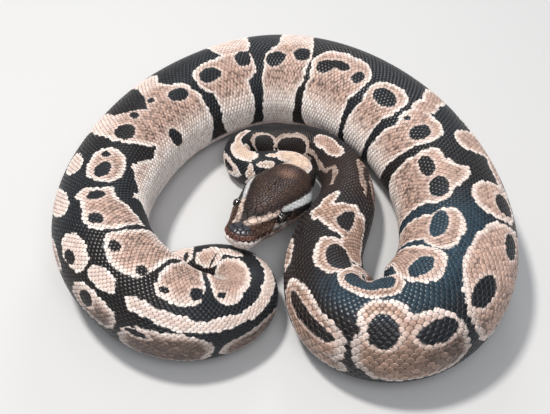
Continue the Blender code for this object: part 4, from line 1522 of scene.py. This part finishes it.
UPPER_LIP = [2.6, 2.9, 3.2, 3.5, 3.7, 3.9, 4.0, 4.1, 4.1, 4.0, 3.6]
LOWER_LIP = [2.2] + [2.75] * 14
SNOUT_PLATES = [
    (3.0, 17.0, 1.35, "plate"),  # internasals
    (5.6, 47.0, 1.25, "nostril"),
    (8.3, 58.0, 1.2, "plate"),
    (6.8, 15.0, 1.8, "plate"),  # prefrontals
    (11.0, 14.0, 2.1, "plate"),
    (10.6, 42.0, 1.3, "plate"),
    (14.4, 40.0, 1.4, "plate"),
    (14.9, 0.0, 1.5, "plate"),
    (17.6, 13.0, 1.7, "plate"),  # frontals
    (21.6, 11.0, 1.6, "plate"),
    (18.0, 37.0, 1.35, "plate"),  # over the eye
    (21.8, 36.0, 1.45, "plate"),
]
place_plate(0.35, 0.0, 1.7, "front_pit")
place_plate(0.35, 180.0, 1.1, "lip")
lip_row(1.55, 1.9, UPPER_LIP, 1.45, (0, 1, 2, 3))
lip_row(-1.30, 1.3, LOWER_LIP, 1.2, (9, 10, 11, 12))
for plate in SNOUT_PLATES:
    place_plate(*plate)
print("named plates:", len(seeds))

# %% [markdown]
# ## Rings round the eyes
# The eye sits in a ring of small plates.  A search over a fine grid finds the place on the
# skin nearest to the eye, and the ring is a circle laid on the surface round it.

# %% A ring of small plates round each eye
RING_PLATES, RING_RADIUS = 11, 3.15
eye_skin = {}


def nearest_on_skin(centre, side):
    """Distance from the lips and angle of the skin nearest to an eye."""
    angles = np.radians(np.arange(40.0, 100.0, 0.5)) * side
    backs = np.arange(EYE_BACK - 1.5, EYE_BACK + 1.6, 0.1)
    grid_back, grid_angle = np.meshgrid(backs, angles, indexing="ij")
    found = on_skin(grid_back, grid_angle)
    nearest = np.argmin(np.linalg.norm(found - centre, axis=-1))
    return grid_back.ravel()[nearest], grid_angle.ravel()[nearest]


for side in (-1.0, 1.0):
    centre = head_place(EYE_BACK, side * EYE_OUT, EYE_UP)
    back, angle = eye_skin[side] = nearest_on_skin(centre, side)
    radius = float(girth_radius(np.array([back - HEAD_LENGTH]))[0])
    for k in range(RING_PLATES):
        turn = 2.0 * math.pi * (k + 0.5) / RING_PLATES
        seeds.append((back + RING_RADIUS * math.cos(turn),
                      angle + RING_RADIUS * math.sin(turn) / radius, 0.8, "eye_ring"))
print("eye on the skin: %.1f mm from the snout, %.0f degrees"
      % (eye_skin[1.0][0], math.degrees(eye_skin[1.0][1])))

# %% [markdown]
# ## Small plates
# The rest of the head is covered with small plates, finest on the crown.  They are thrown at
# random, and one stays only where it has room.  A regular grid would be quicker, but it would
# show as rows that a python's crown doesn't have.

# %% Fill the rest of the head with small plates
THROWS = 40000
CLOSENESS = 0.46  # how near two small plates may stand, in their spacings
EYE_ROOM = 2.6


def wanted_spacing(back, angle):
    """Distance between neighbouring small plates."""
    side = np.abs(np.degrees(angle))
    crown = np.interp(back, [8.0, 20.0, 28.0, 56.0], [1.9, 1.5, 1.15, 1.1])
    flank = np.interp(back, [3.0, 14.0, 26.0, 40.0, 56.0], [1.5, 1.5, 1.6, 1.5, 1.3])
    under = np.interp(back, [4.0, 20.0, 56.0], [1.9, 2.3, 2.0])
    spacing = crown + (flank - crown) * rising(side, 45.0, 20.0)
    return spacing + (under - spacing) * rising(side, 112.0, 20.0)


thrown_back = HEAD_LENGTH - 1.6 - (HEAD_LENGTH - 2.2) * dice.uniform(0.0, 1.0, THROWS)
thrown_angle = dice.uniform(-math.pi, math.pi, THROWS)
thrown_points = on_skin(thrown_back, thrown_angle)
thrown_spacing = wanted_spacing(thrown_back, thrown_angle)
eye_points = [on_skin(back, angle) for back, angle in eye_skin.values()]
placed = np.array([seed[:3] for seed in seeds])
taken = np.vstack([on_skin(placed[:, 0], placed[:, 1]), eye_points])
taken_radius = np.append(placed[:, 2], [EYE_ROOM, EYE_ROOM])
for k in range(THROWS):
    room_wanted = thrown_spacing[k] * CLOSENESS
    away = np.linalg.norm(taken - thrown_points[k], axis=1)
    if (away > taken_radius + room_wanted).all():
        seeds.append((thrown_back[k], thrown_angle[k], thrown_spacing[k] / 2.0, "small"))
        taken = np.vstack([taken, thrown_points[k]])
        taken_radius = np.append(taken_radius, room_wanted)
print("small plates:", sum(seed[3] == "small" for seed in seeds))

# %% [markdown]
# ## Evening out
# The scattering leaves uneven gaps, so the small plates push each other apart a few times.

# %% Even out the small plates
ROUNDS = 8
PUSH = 0.35
EYE_PUSH_RADIUS = 2.5
seed_back, seed_angle, seed_radius = np.array([seed[:3] for seed in seeds]).T
seed_kind = [seed[3] for seed in seeds]
free = np.array([kind == "small" for kind in seed_kind])


def step_on_surface(back, angle, move):
    """Moves places by a small shift in space, in their own plane."""
    s = back - HEAD_LENGTH
    along = (surface(s + 0.1, angle) - surface(s - 0.1, angle)) / 0.2
    around = (surface(s, angle + 0.01) - surface(s, angle - 0.01)) / 0.02
    a, b, c = (along * along).sum(-1), (along * around).sum(-1), (around * around).sum(-1)
    p, q = (along * move).sum(-1), (around * move).sum(-1)
    det = np.maximum(a * c - b * b, 1e-6)
    return back + (c * p - b * q) / det, angle + (a * q - b * p) / det


for _ in range(ROUNDS):
    points = on_skin(seed_back, seed_angle)
    all_points = np.vstack([points, eye_points])
    all_radius = np.append(seed_radius, [EYE_PUSH_RADIUS, EYE_PUSH_RADIUS])
    apart = points[:, None, :] - all_points[None]
    distance = np.linalg.norm(apart, axis=-1) + 1e-6
    wanted = (seed_radius[:, None] + all_radius[None]) * 1.06
    crowded = (distance < wanted) & (distance > 1e-3)
    push = np.where(crowded, (wanted - distance) * PUSH, 0.0)
    move = (apart / distance[..., None] * push[..., None]).sum(1)
    new_back, new_angle = step_on_surface(seed_back, seed_angle, move)
    seed_back = np.where(free, np.clip(new_back, 0.8, HEAD_LENGTH - 1.5), seed_back)
    seed_angle = np.where(free, new_angle, seed_angle)
print("plates to cut:", len(seed_back))

# %% [markdown]
# ## A fine copy of the head to lay plates on
# A tree over a finely divided head tells which point of the skin is nearest to any place.
# A shrinkwrap modifier does the same for a whole mesh, but here every ring of a plate also
# needs its own height above the skin.

# %% Fine head and nearest point
FINE_TURNS = 220
fine_back = np.concatenate([np.linspace(0.02, 1.0, 30) ** 2 * 5.5, np.arange(5.8, 60.0, 0.35)])
fine_angle = np.arange(FINE_TURNS) * 2.0 * math.pi / FINE_TURNS
grid_s, grid_angle = np.meshgrid(fine_back - HEAD_LENGTH, fine_angle, indexing="ij")
fine_points, fine_faces = closed_loft(surface(grid_s, grid_angle))
tree = BVHTree.FromPolygons([Vector(p) for p in fine_points],
                            [tuple(f) for part in fine_faces for f in part.tolist()])


def on_head(point):
    """Nearest place of the head's skin, and the direction that leads away from it."""
    spot, normal, _, _ = tree.find_nearest(Vector(point))
    normal = np.array(normal)
    spot = np.array(spot)
    axis = SNOUT + HEAD_BACK * ((spot - SNOUT) @ HEAD_BACK)
    return spot, normal if normal @ (spot - axis) > 0.0 else -normal


print("fine head: %d points" % len(fine_points))

# %% [markdown]
# ## Outline of a plate
# A plate starts as an eight-sided disc and is cut by a line half way to each neighbour, or
# nearer to the smaller of the two.  Then a seam is taken off all round, and each corner is
# cut to two, as scales have no sharp corners.

# %% Cut every plate's outline from its neighbours
PALE_LIMIT = 0.22
SEAM_PALE, SEAM_DARK = 0.025, 0.055
CORNER_CUT = 0.22
NEIGHBOURS = 22
seed_points = on_skin(seed_back, seed_angle)
seed_normals = normals(seed_back - HEAD_LENGTH, seed_angle)
seed_tone = colour_at(seed_back - HEAD_LENGTH, seed_angle,
                      np.full(len(seed_back), EVEN_LUCK))
seed_pale = seed_tone.mean(-1) > PALE_LIMIT


def clipped(outline, direction, limit):
    """The part of a convex outline on the near side of a line."""
    kept = []
    count = len(outline)
    for k in range(count):
        here, there = outline[k], outline[(k + 1) % count]
        a, b = here @ direction - limit, there @ direction - limit
        if a <= 0.0:
            kept.append(here)
        if (a < 0.0 < b) or (b < 0.0 < a):
            kept.append(here + (there - here) * (a / (a - b)))
    return kept


def plate_outline(index, points, radii):
    """The plate's cell in its own plane, with its corners cut."""
    middle, normal = seed_points[index], seed_normals[index]
    first = unit(np.cross(normal, HEAD_UP if abs(normal @ HEAD_UP) < 0.9 else HEAD_BACK))
    second = np.cross(normal, first)
    reach = seed_radius[index] * 2.1
    turns = np.arange(8) * math.pi / 4.0
    outline = [np.array((math.cos(t), math.sin(t))) * reach for t in turns]
    offset = points - middle
    away = np.linalg.norm(offset, axis=1)
    near = np.where((away < 7.0) & (away > 1e-4))[0]
    near = near[np.argsort(away[near])][:NEIGHBOURS]
    for other in near:
        flat = np.array((offset[other] @ first, offset[other] @ second))
        length = np.linalg.norm(flat)
        if length < 1e-4 or away[other] > 1.7 * (radii[index] + radii[other]) + 1.5:
            continue
        share = radii[index] / (radii[index] + radii[other])
        outline = clipped(outline, flat / length, away[other] * share)
        if len(outline) < 3:
            return None
    outline = np.array(outline)
    centre = outline.mean(0)
    spread_out = np.linalg.norm(outline - centre, axis=1).mean()
    gap = SEAM_PALE if seed_pale[index] else SEAM_DARK
    outline = centre + (outline - centre) * max(0.5, 1.0 - gap / spread_out)
    after = np.roll(outline, -1, axis=0)
    stay = 1.0 - CORNER_CUT
    cut = np.stack([outline * stay + after * CORNER_CUT,
                    outline * CORNER_CUT + after * stay], 1)
    return middle, first, second, cut.reshape(-1, 2), centre


print("pale plates: %d of %d" % (seed_pale.sum(), len(seed_pale)))

# %% [markdown]
# ## Relief of a plate
# Each plate is laid back on the head as rings, from its edge to its middle, and closed
# below.  Pits and nostrils are plates whose middle sinks instead of rising, so they need no
# cutting of holes.

# %% Rings of a plate
HEAD_DEPTH = 0.30  # the edge of a plate lies this far below the solid part
PLATE_FOOT = 0.12  # and its underside this much lower


def plate_height(index):
    """Height of a plate's rounded edge; pale plates and those of the forehead are flatter."""
    height = 0.08 + 0.06 * min(seed_radius[index], 1.6)
    on_forehead = abs(seed_angle[index]) < 0.9 and 3.0 < seed_back[index] < 27.0
    return height * 0.5 if on_forehead or seed_pale[index] else height


def plate_levels(kind, high):
    """Share of the plate's size and height of every ring."""
    if kind == "nostril":
        return [(1.0, 0.0), (0.80, high), (0.50, high), (0.36, -0.10), (0.26, -0.75)]
    if kind in ("pit", "front_pit"):
        return [(1.0, 0.0), (0.84, high), (0.56, high), (0.40, -0.05), (0.26, -0.45)]
    return [(1.0, 0.0), (0.82, high * 0.82), (0.50, high * 1.05)]


def ring_faces(base, count, rings):
    """Faces of a plate whose last two points are its middle above and below."""
    faces = []
    last = base + (rings - 1) * count
    above = base + rings * count
    for k in range(count):
        after = (k + 1) % count
        for level in range(rings - 1):
            low, up = base + level * count, base + (level + 1) * count
            faces.append((low + k, low + after, up + after, up + k))
        faces.append((last + k, last + after, above))
        faces.append((base + after, base + k, above + 1))
    return faces


# %% Build the head plates
EYE_CELL = 2.32  # radius that the eyes keep free of plates
PIT_FOOT = 0.8  # the underside of a sunk plate lies this much deeper
SUNK_PART = -1.0  # marks the points inside a pit or nostril


def build_plates():
    """Points and faces of all plates, and each point's plate and part of it."""
    radii = np.append(seed_radius, [EYE_CELL, EYE_CELL])
    points = np.vstack([seed_points, eye_points])
    verts, faces, owner, part = [], [], [], []
    for index in range(len(seed_back)):
        shape = plate_outline(index, points, radii)
        if shape is None:
            continue
        middle, first, second, outline, centre = shape
        levels = plate_levels(seed_kind[index], plate_height(index))
        base = len(verts)
        for share, lift in levels:
            for x, y in centre + (outline - centre) * share:
                spot, normal = on_head(middle + first * x + second * y)
                verts.append(spot + normal * (lift - HEAD_DEPTH))
                part.append(share if lift >= 0.0 else SUNK_PART)
        spot, normal = on_head(middle + first * centre[0] + second * centre[1])
        last_lift = levels[-1][1]
        sinks = last_lift < 0.0
        top = last_lift - 0.05 if sinks else last_lift * 1.08
        foot = HEAD_DEPTH + PLATE_FOOT + (PIT_FOOT if sinks else 0.0)
        verts += [spot + normal * (top - HEAD_DEPTH), spot - normal * foot]
        part += [SUNK_PART if sinks else 0.0, 0.0]
        owner += [index] * (len(verts) - base)
        faces += ring_faces(base, len(outline), len(levels))
    return np.array(verts), faces, np.array(owner), np.array(part)


plate_points, plate_faces, owner, part = build_plates()
data = bpy.data.meshes.new("head_plates")
data.from_pydata((plate_points * MM).tolist(), [], plate_faces)
data.polygons.foreach_set("use_smooth", np.ones(len(data.polygons), bool))
head_plates = bpy.data.objects.new("head_plates", data)
collection.objects.link(head_plates)
face_outward(data)
print("head plates: %d points, %d faces" % (len(plate_points), len(plate_faces)))

# %% [markdown]
# ## Places of the plates' points
# A plate that the face line crosses shows the line on part of it, so its points are coloured
# where they are.  That needs the way back from a point to its distance and angle.

# %% Distance and angle of every point
FLATNESS = 1.12  # undoes the squareness of the head's sections
relative = plate_points - SNOUT
point_back = np.clip(relative @ HEAD_BACK, 0.05, HEAD_LENGTH + 2.0)
point_out = relative @ HEAD_LEFT
point_rise = relative @ HEAD_UP
half_there, tall_there, deep_there = [table_at(point_back - HEAD_LENGTH, column)
                                      for column in (LEFT_HALF, TOP, BOTTOM)]
x = np.abs(point_out / half_there) ** FLATNESS * np.sign(point_out)
y = np.abs(point_rise) / np.where(point_rise > 0.0, tall_there, deep_there)
y = y ** FLATNESS * np.sign(point_rise)
point_angle = np.arctan2(x, y)
point_degrees = np.degrees(point_angle)
point_side = np.abs(point_degrees)

# %% [markdown]
# ## Colour of the plates
# Seams are a little darker on the lips and brown on the cheek, and hardly show on the crown
# and on pale plates.  They are the outermost ring of each plate, so a tone by ring will do.

# %% Colour the head plates
OWN_PLACE = 0.7  # share of a point's colour that comes from its own place
SUNK_TONES = {
    "pit": (0.16, 0.045, 0.035),
    "front_pit": (0.18, 0.06, 0.045),
    # the nostril's near-black is painted shade: the dark of a deep opening that the shallow sunk
    # plate lacks
    "nostril": (0.05, 0.02, 0.02),
}
plate_luck = dice.uniform(0.0, 1.0, len(seed_back))
per_plate = colour_at(seed_back - HEAD_LENGTH, seed_angle, plate_luck)
per_point = head_colour(point_back, point_degrees, plate_luck[owner])
per_point = lower_head(per_point, point_back, point_side, point_rise, plate_luck[owner])
colours = blend(per_plate[owner], per_point, OWN_PLACE)
seam = rising(part, 0.86, 0.12)
on_cheek = window(point_back, 5.0, 21.0, 3.0) * window(point_side, 58.0, 125.0, 8.0)
on_crown = window(point_back, 10.0, 60.0, 6.0) * falling(point_side, 50.0, 14.0)
seam_tone = colours * (0.72 + 0.30 * on_crown)[:, None]
pale_plate = smoothstep((colours.mean(1) - 0.2) / 0.15)
seam_tone = blend(seam_tone, colours * 0.92, pale_plate)
seam_tone = blend(seam_tone, SUTURE + colours * 0.3, on_cheek * (1.0 - pale_plate))
colours = blend(colours, seam_tone, seam)
sunk = part < -0.5
kind_of = np.array([seed_kind[k] for k in owner])
for kind, tone in SUNK_TONES.items():
    colours[sunk & (kind_of == kind)] = tone
paint(head_plates, "Markings", colours)
print("points inside pits and nostrils:", int(sunk.sum()))

# %% Unwrap and finish the head plates
BAKE_PER_MM, BAKE_PER_DEGREE, BAKE_LIMIT = 0.0006, 0.00008, 0.0015
root = chart(seed_back - HEAD_LENGTH, wrapped_degrees(seed_angle))
local = np.column_stack([(point_back - seed_back[owner]) * BAKE_PER_MM,
                         wrapped_degrees(point_angle - seed_angle[owner]) * BAKE_PER_DEGREE])
unwrap(head_plates, root[owner] + np.clip(local, -BAKE_LIMIT, BAKE_LIMIT))
head_plates.data.materials.append(hide_material("head_keratin", gloss=0.22, relief=0.3,
                                                specular=0.30))
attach(head_plates, "root")
print("finish of the head:", head_plates.data.materials[0].name)

# %% [markdown]
# ## Eyes
# The eye is dark brown, nearly black, under one clear fixed scale, with an upright slit of a
# pupil that hardly shows.  A clear ball over a flat iris would do it, but at this size a
# painted ball with a clear coat shows the same.

# %% Tones and finish of the eyes
EYE_RINGS, EYE_TURNS = 40, 56
IRIS = (0.022, 0.011, 0.006)
PUPIL = np.array((0.002, 0.002, 0.002))
EYE_RIM = np.array((0.006, 0.005, 0.006))
eye_glass = hide_material("eye_glass", gloss=0.0, relief=0.0, specular=0.6)
set_inputs(eye_glass.node_tree.nodes["Principled BSDF"],
           {"Coat Weight": 1.0, "Coat Roughness": 0.02})


def eye_colours(up_part, across_part, front):
    """Iris, slit pupil and dark rim, by place on a ball of radius one."""
    slit = smoothstep((0.10 * np.sqrt(np.maximum(0.0, 1.0 - (up_part / 0.55) ** 2))
                       - np.abs(across_part)) / 0.06 + 0.5)
    radius = np.hypot(up_part, across_part)
    iris = np.outer(0.6 + 0.4 * rising(radius, 0.2, 0.4), IRIS)
    colours = blend(iris, PUPIL, slit)
    colours = blend(colours, EYE_RIM, rising(radius, 0.72, 0.1))
    return np.where((front < 0.2)[:, None], EYE_RIM, colours)


# %% Make the eyes
def eye_piece(name, node, side):
    """A glass eye in its socket; side is 1 on the animal's left and -1 on its right."""
    polar = np.linspace(0.0, math.pi, EYE_RINGS + 1)[1:-1]
    turn = np.arange(EYE_TURNS) * 2.0 * math.pi / EYE_TURNS
    centre = head_place(EYE_BACK, side * EYE_OUT, EYE_UP)
    outward = unit(HEAD_LEFT * side * 0.93 + HEAD_UP * 0.30 - HEAD_BACK * 0.10)
    upright = unit(HEAD_UP - outward * (HEAD_UP @ outward))
    across = np.cross(outward, upright)
    p, t = np.meshgrid(polar, turn, indexing="ij")
    flat_up, flat_across = np.sin(p) * np.cos(t), np.sin(p) * np.sin(t)
    direction = (np.cos(p)[..., None] * outward + flat_up[..., None] * upright
                 + flat_across[..., None] * across)
    ends = [centre + outward * EYE_RADIUS, centre - outward * EYE_RADIUS]
    points, faces = closed_loft(centre + direction * EYE_RADIUS, ends)
    piece = mesh_object(name, points, faces)
    face_outward(piece.data)
    colours = eye_colours(np.append(flat_up, [0.0, 0.0]), np.append(flat_across, [0.0, 0.0]),
                          np.append(np.cos(p), [1.0, -1.0]))
    paint(piece, "Markings", colours)
    piece.data.materials.append(eye_glass)
    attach(piece, "root")
    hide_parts(node)
    return piece


eyes = [eye_piece("glass_eye_left", "eye_left", 1.0),
        eye_piece("glass_eye_right", "eye_right", -1.0)]
print("eyes:", [piece.name for piece in eyes])

# %% [markdown]
# ## Stage
# The model stands on a plain pale floor, a wide sheet that fills the whole view from above.
# It lies a hair below the model, so that the two never share a surface.

# %% Floor
FLOOR_LEVEL = -0.4 * MM
bpy.ops.mesh.primitive_plane_add(size=6.0, location=(0.0, 0.0, FLOOR_LEVEL))
floor = bpy.context.object
floor.name = "studio_floor"
floor_finish = bpy.data.materials.new("studio_paper")
floor_finish.use_nodes = True
set_inputs(floor_finish.node_tree.nodes["Principled BSDF"],
           {"Base Color": (0.5, 0.5, 0.5, 1.0), "Roughness": 0.85, "Specular IOR Level": 0.2})
floor.data.materials.append(floor_finish)
print("floor:", floor.name)

# %% [markdown]
# ## Light
# One small lamp gives every scale its own hard highlight, and two wide ones fill and edge
# the coil.  A single large softbox would be simpler, but the scales would then look flat.

# %% Lights
LAMP_AIM = (0.0, 0.0, 0.02)
LAMPS = [
    # name, place, size, watts, colour
    ("key", (-0.30, 0.10, 0.95), 0.14, 10.5, (1.0, 0.97, 0.93)),
    ("fill", (0.10, -0.55, 0.85), 0.6, 4.5, (0.98, 0.98, 1.0)),
    ("rim", (0.15, 0.95, 0.55), 0.35, 2.6, (0.92, 0.96, 1.0)),
]
scene = bpy.context.scene


def facing(place, aim):
    """Turn of a lamp or a camera at a place, so that it looks at its aim."""
    return (Vector(aim) - Vector(place)).to_track_quat("-Z", "Y").to_euler()


def lamp(name, place, size, watts, colour):
    """A round lamp turned to the model."""
    data = bpy.data.lights.new(name, "AREA")
    data.shape = "DISK"
    data.size = size
    data.energy = watts
    data.color = colour
    holder = bpy.data.objects.new(name, data)
    holder.location = place
    holder.rotation_euler = facing(place, LAMP_AIM)
    scene.collection.objects.link(holder)


for settings in LAMPS:
    lamp(*settings)
if scene.world is None:
    scene.world = bpy.data.worlds.new("studio")
world = scene.world
world.use_nodes = True
set_inputs(world.node_tree.nodes["Background"],
           {"Color": (0.92, 0.95, 1.0, 1.0), "Strength": 0.38})
scene.view_settings.view_transform = "Standard"
print("lamps:", ", ".join(settings[0] for settings in LAMPS))

# %% [markdown]
# ## Camera
# The camera stands half a metre away and looks down on the coil at a slant, so that the back
# and the near flank both show.  A long lens keeps the coil from bulging towards the viewer.

# %% Camera
CAMERA_AT = (-0.0039, -0.3156, 0.3567)
LOOKS_AT = (-0.0039, 0.0056, 0.0)
view = bpy.data.cameras.new("camera")
view.sensor_width = 36.0
view.lens = 62.84
view.clip_start = 0.01
camera = bpy.data.objects.new("camera", view)
camera.location = CAMERA_AT
camera.rotation_euler = facing(CAMERA_AT, LOOKS_AT)
scene.collection.objects.link(camera)
scene.camera = camera
print("camera: %.2f m from the model" % math.dist(CAMERA_AT, LOOKS_AT))
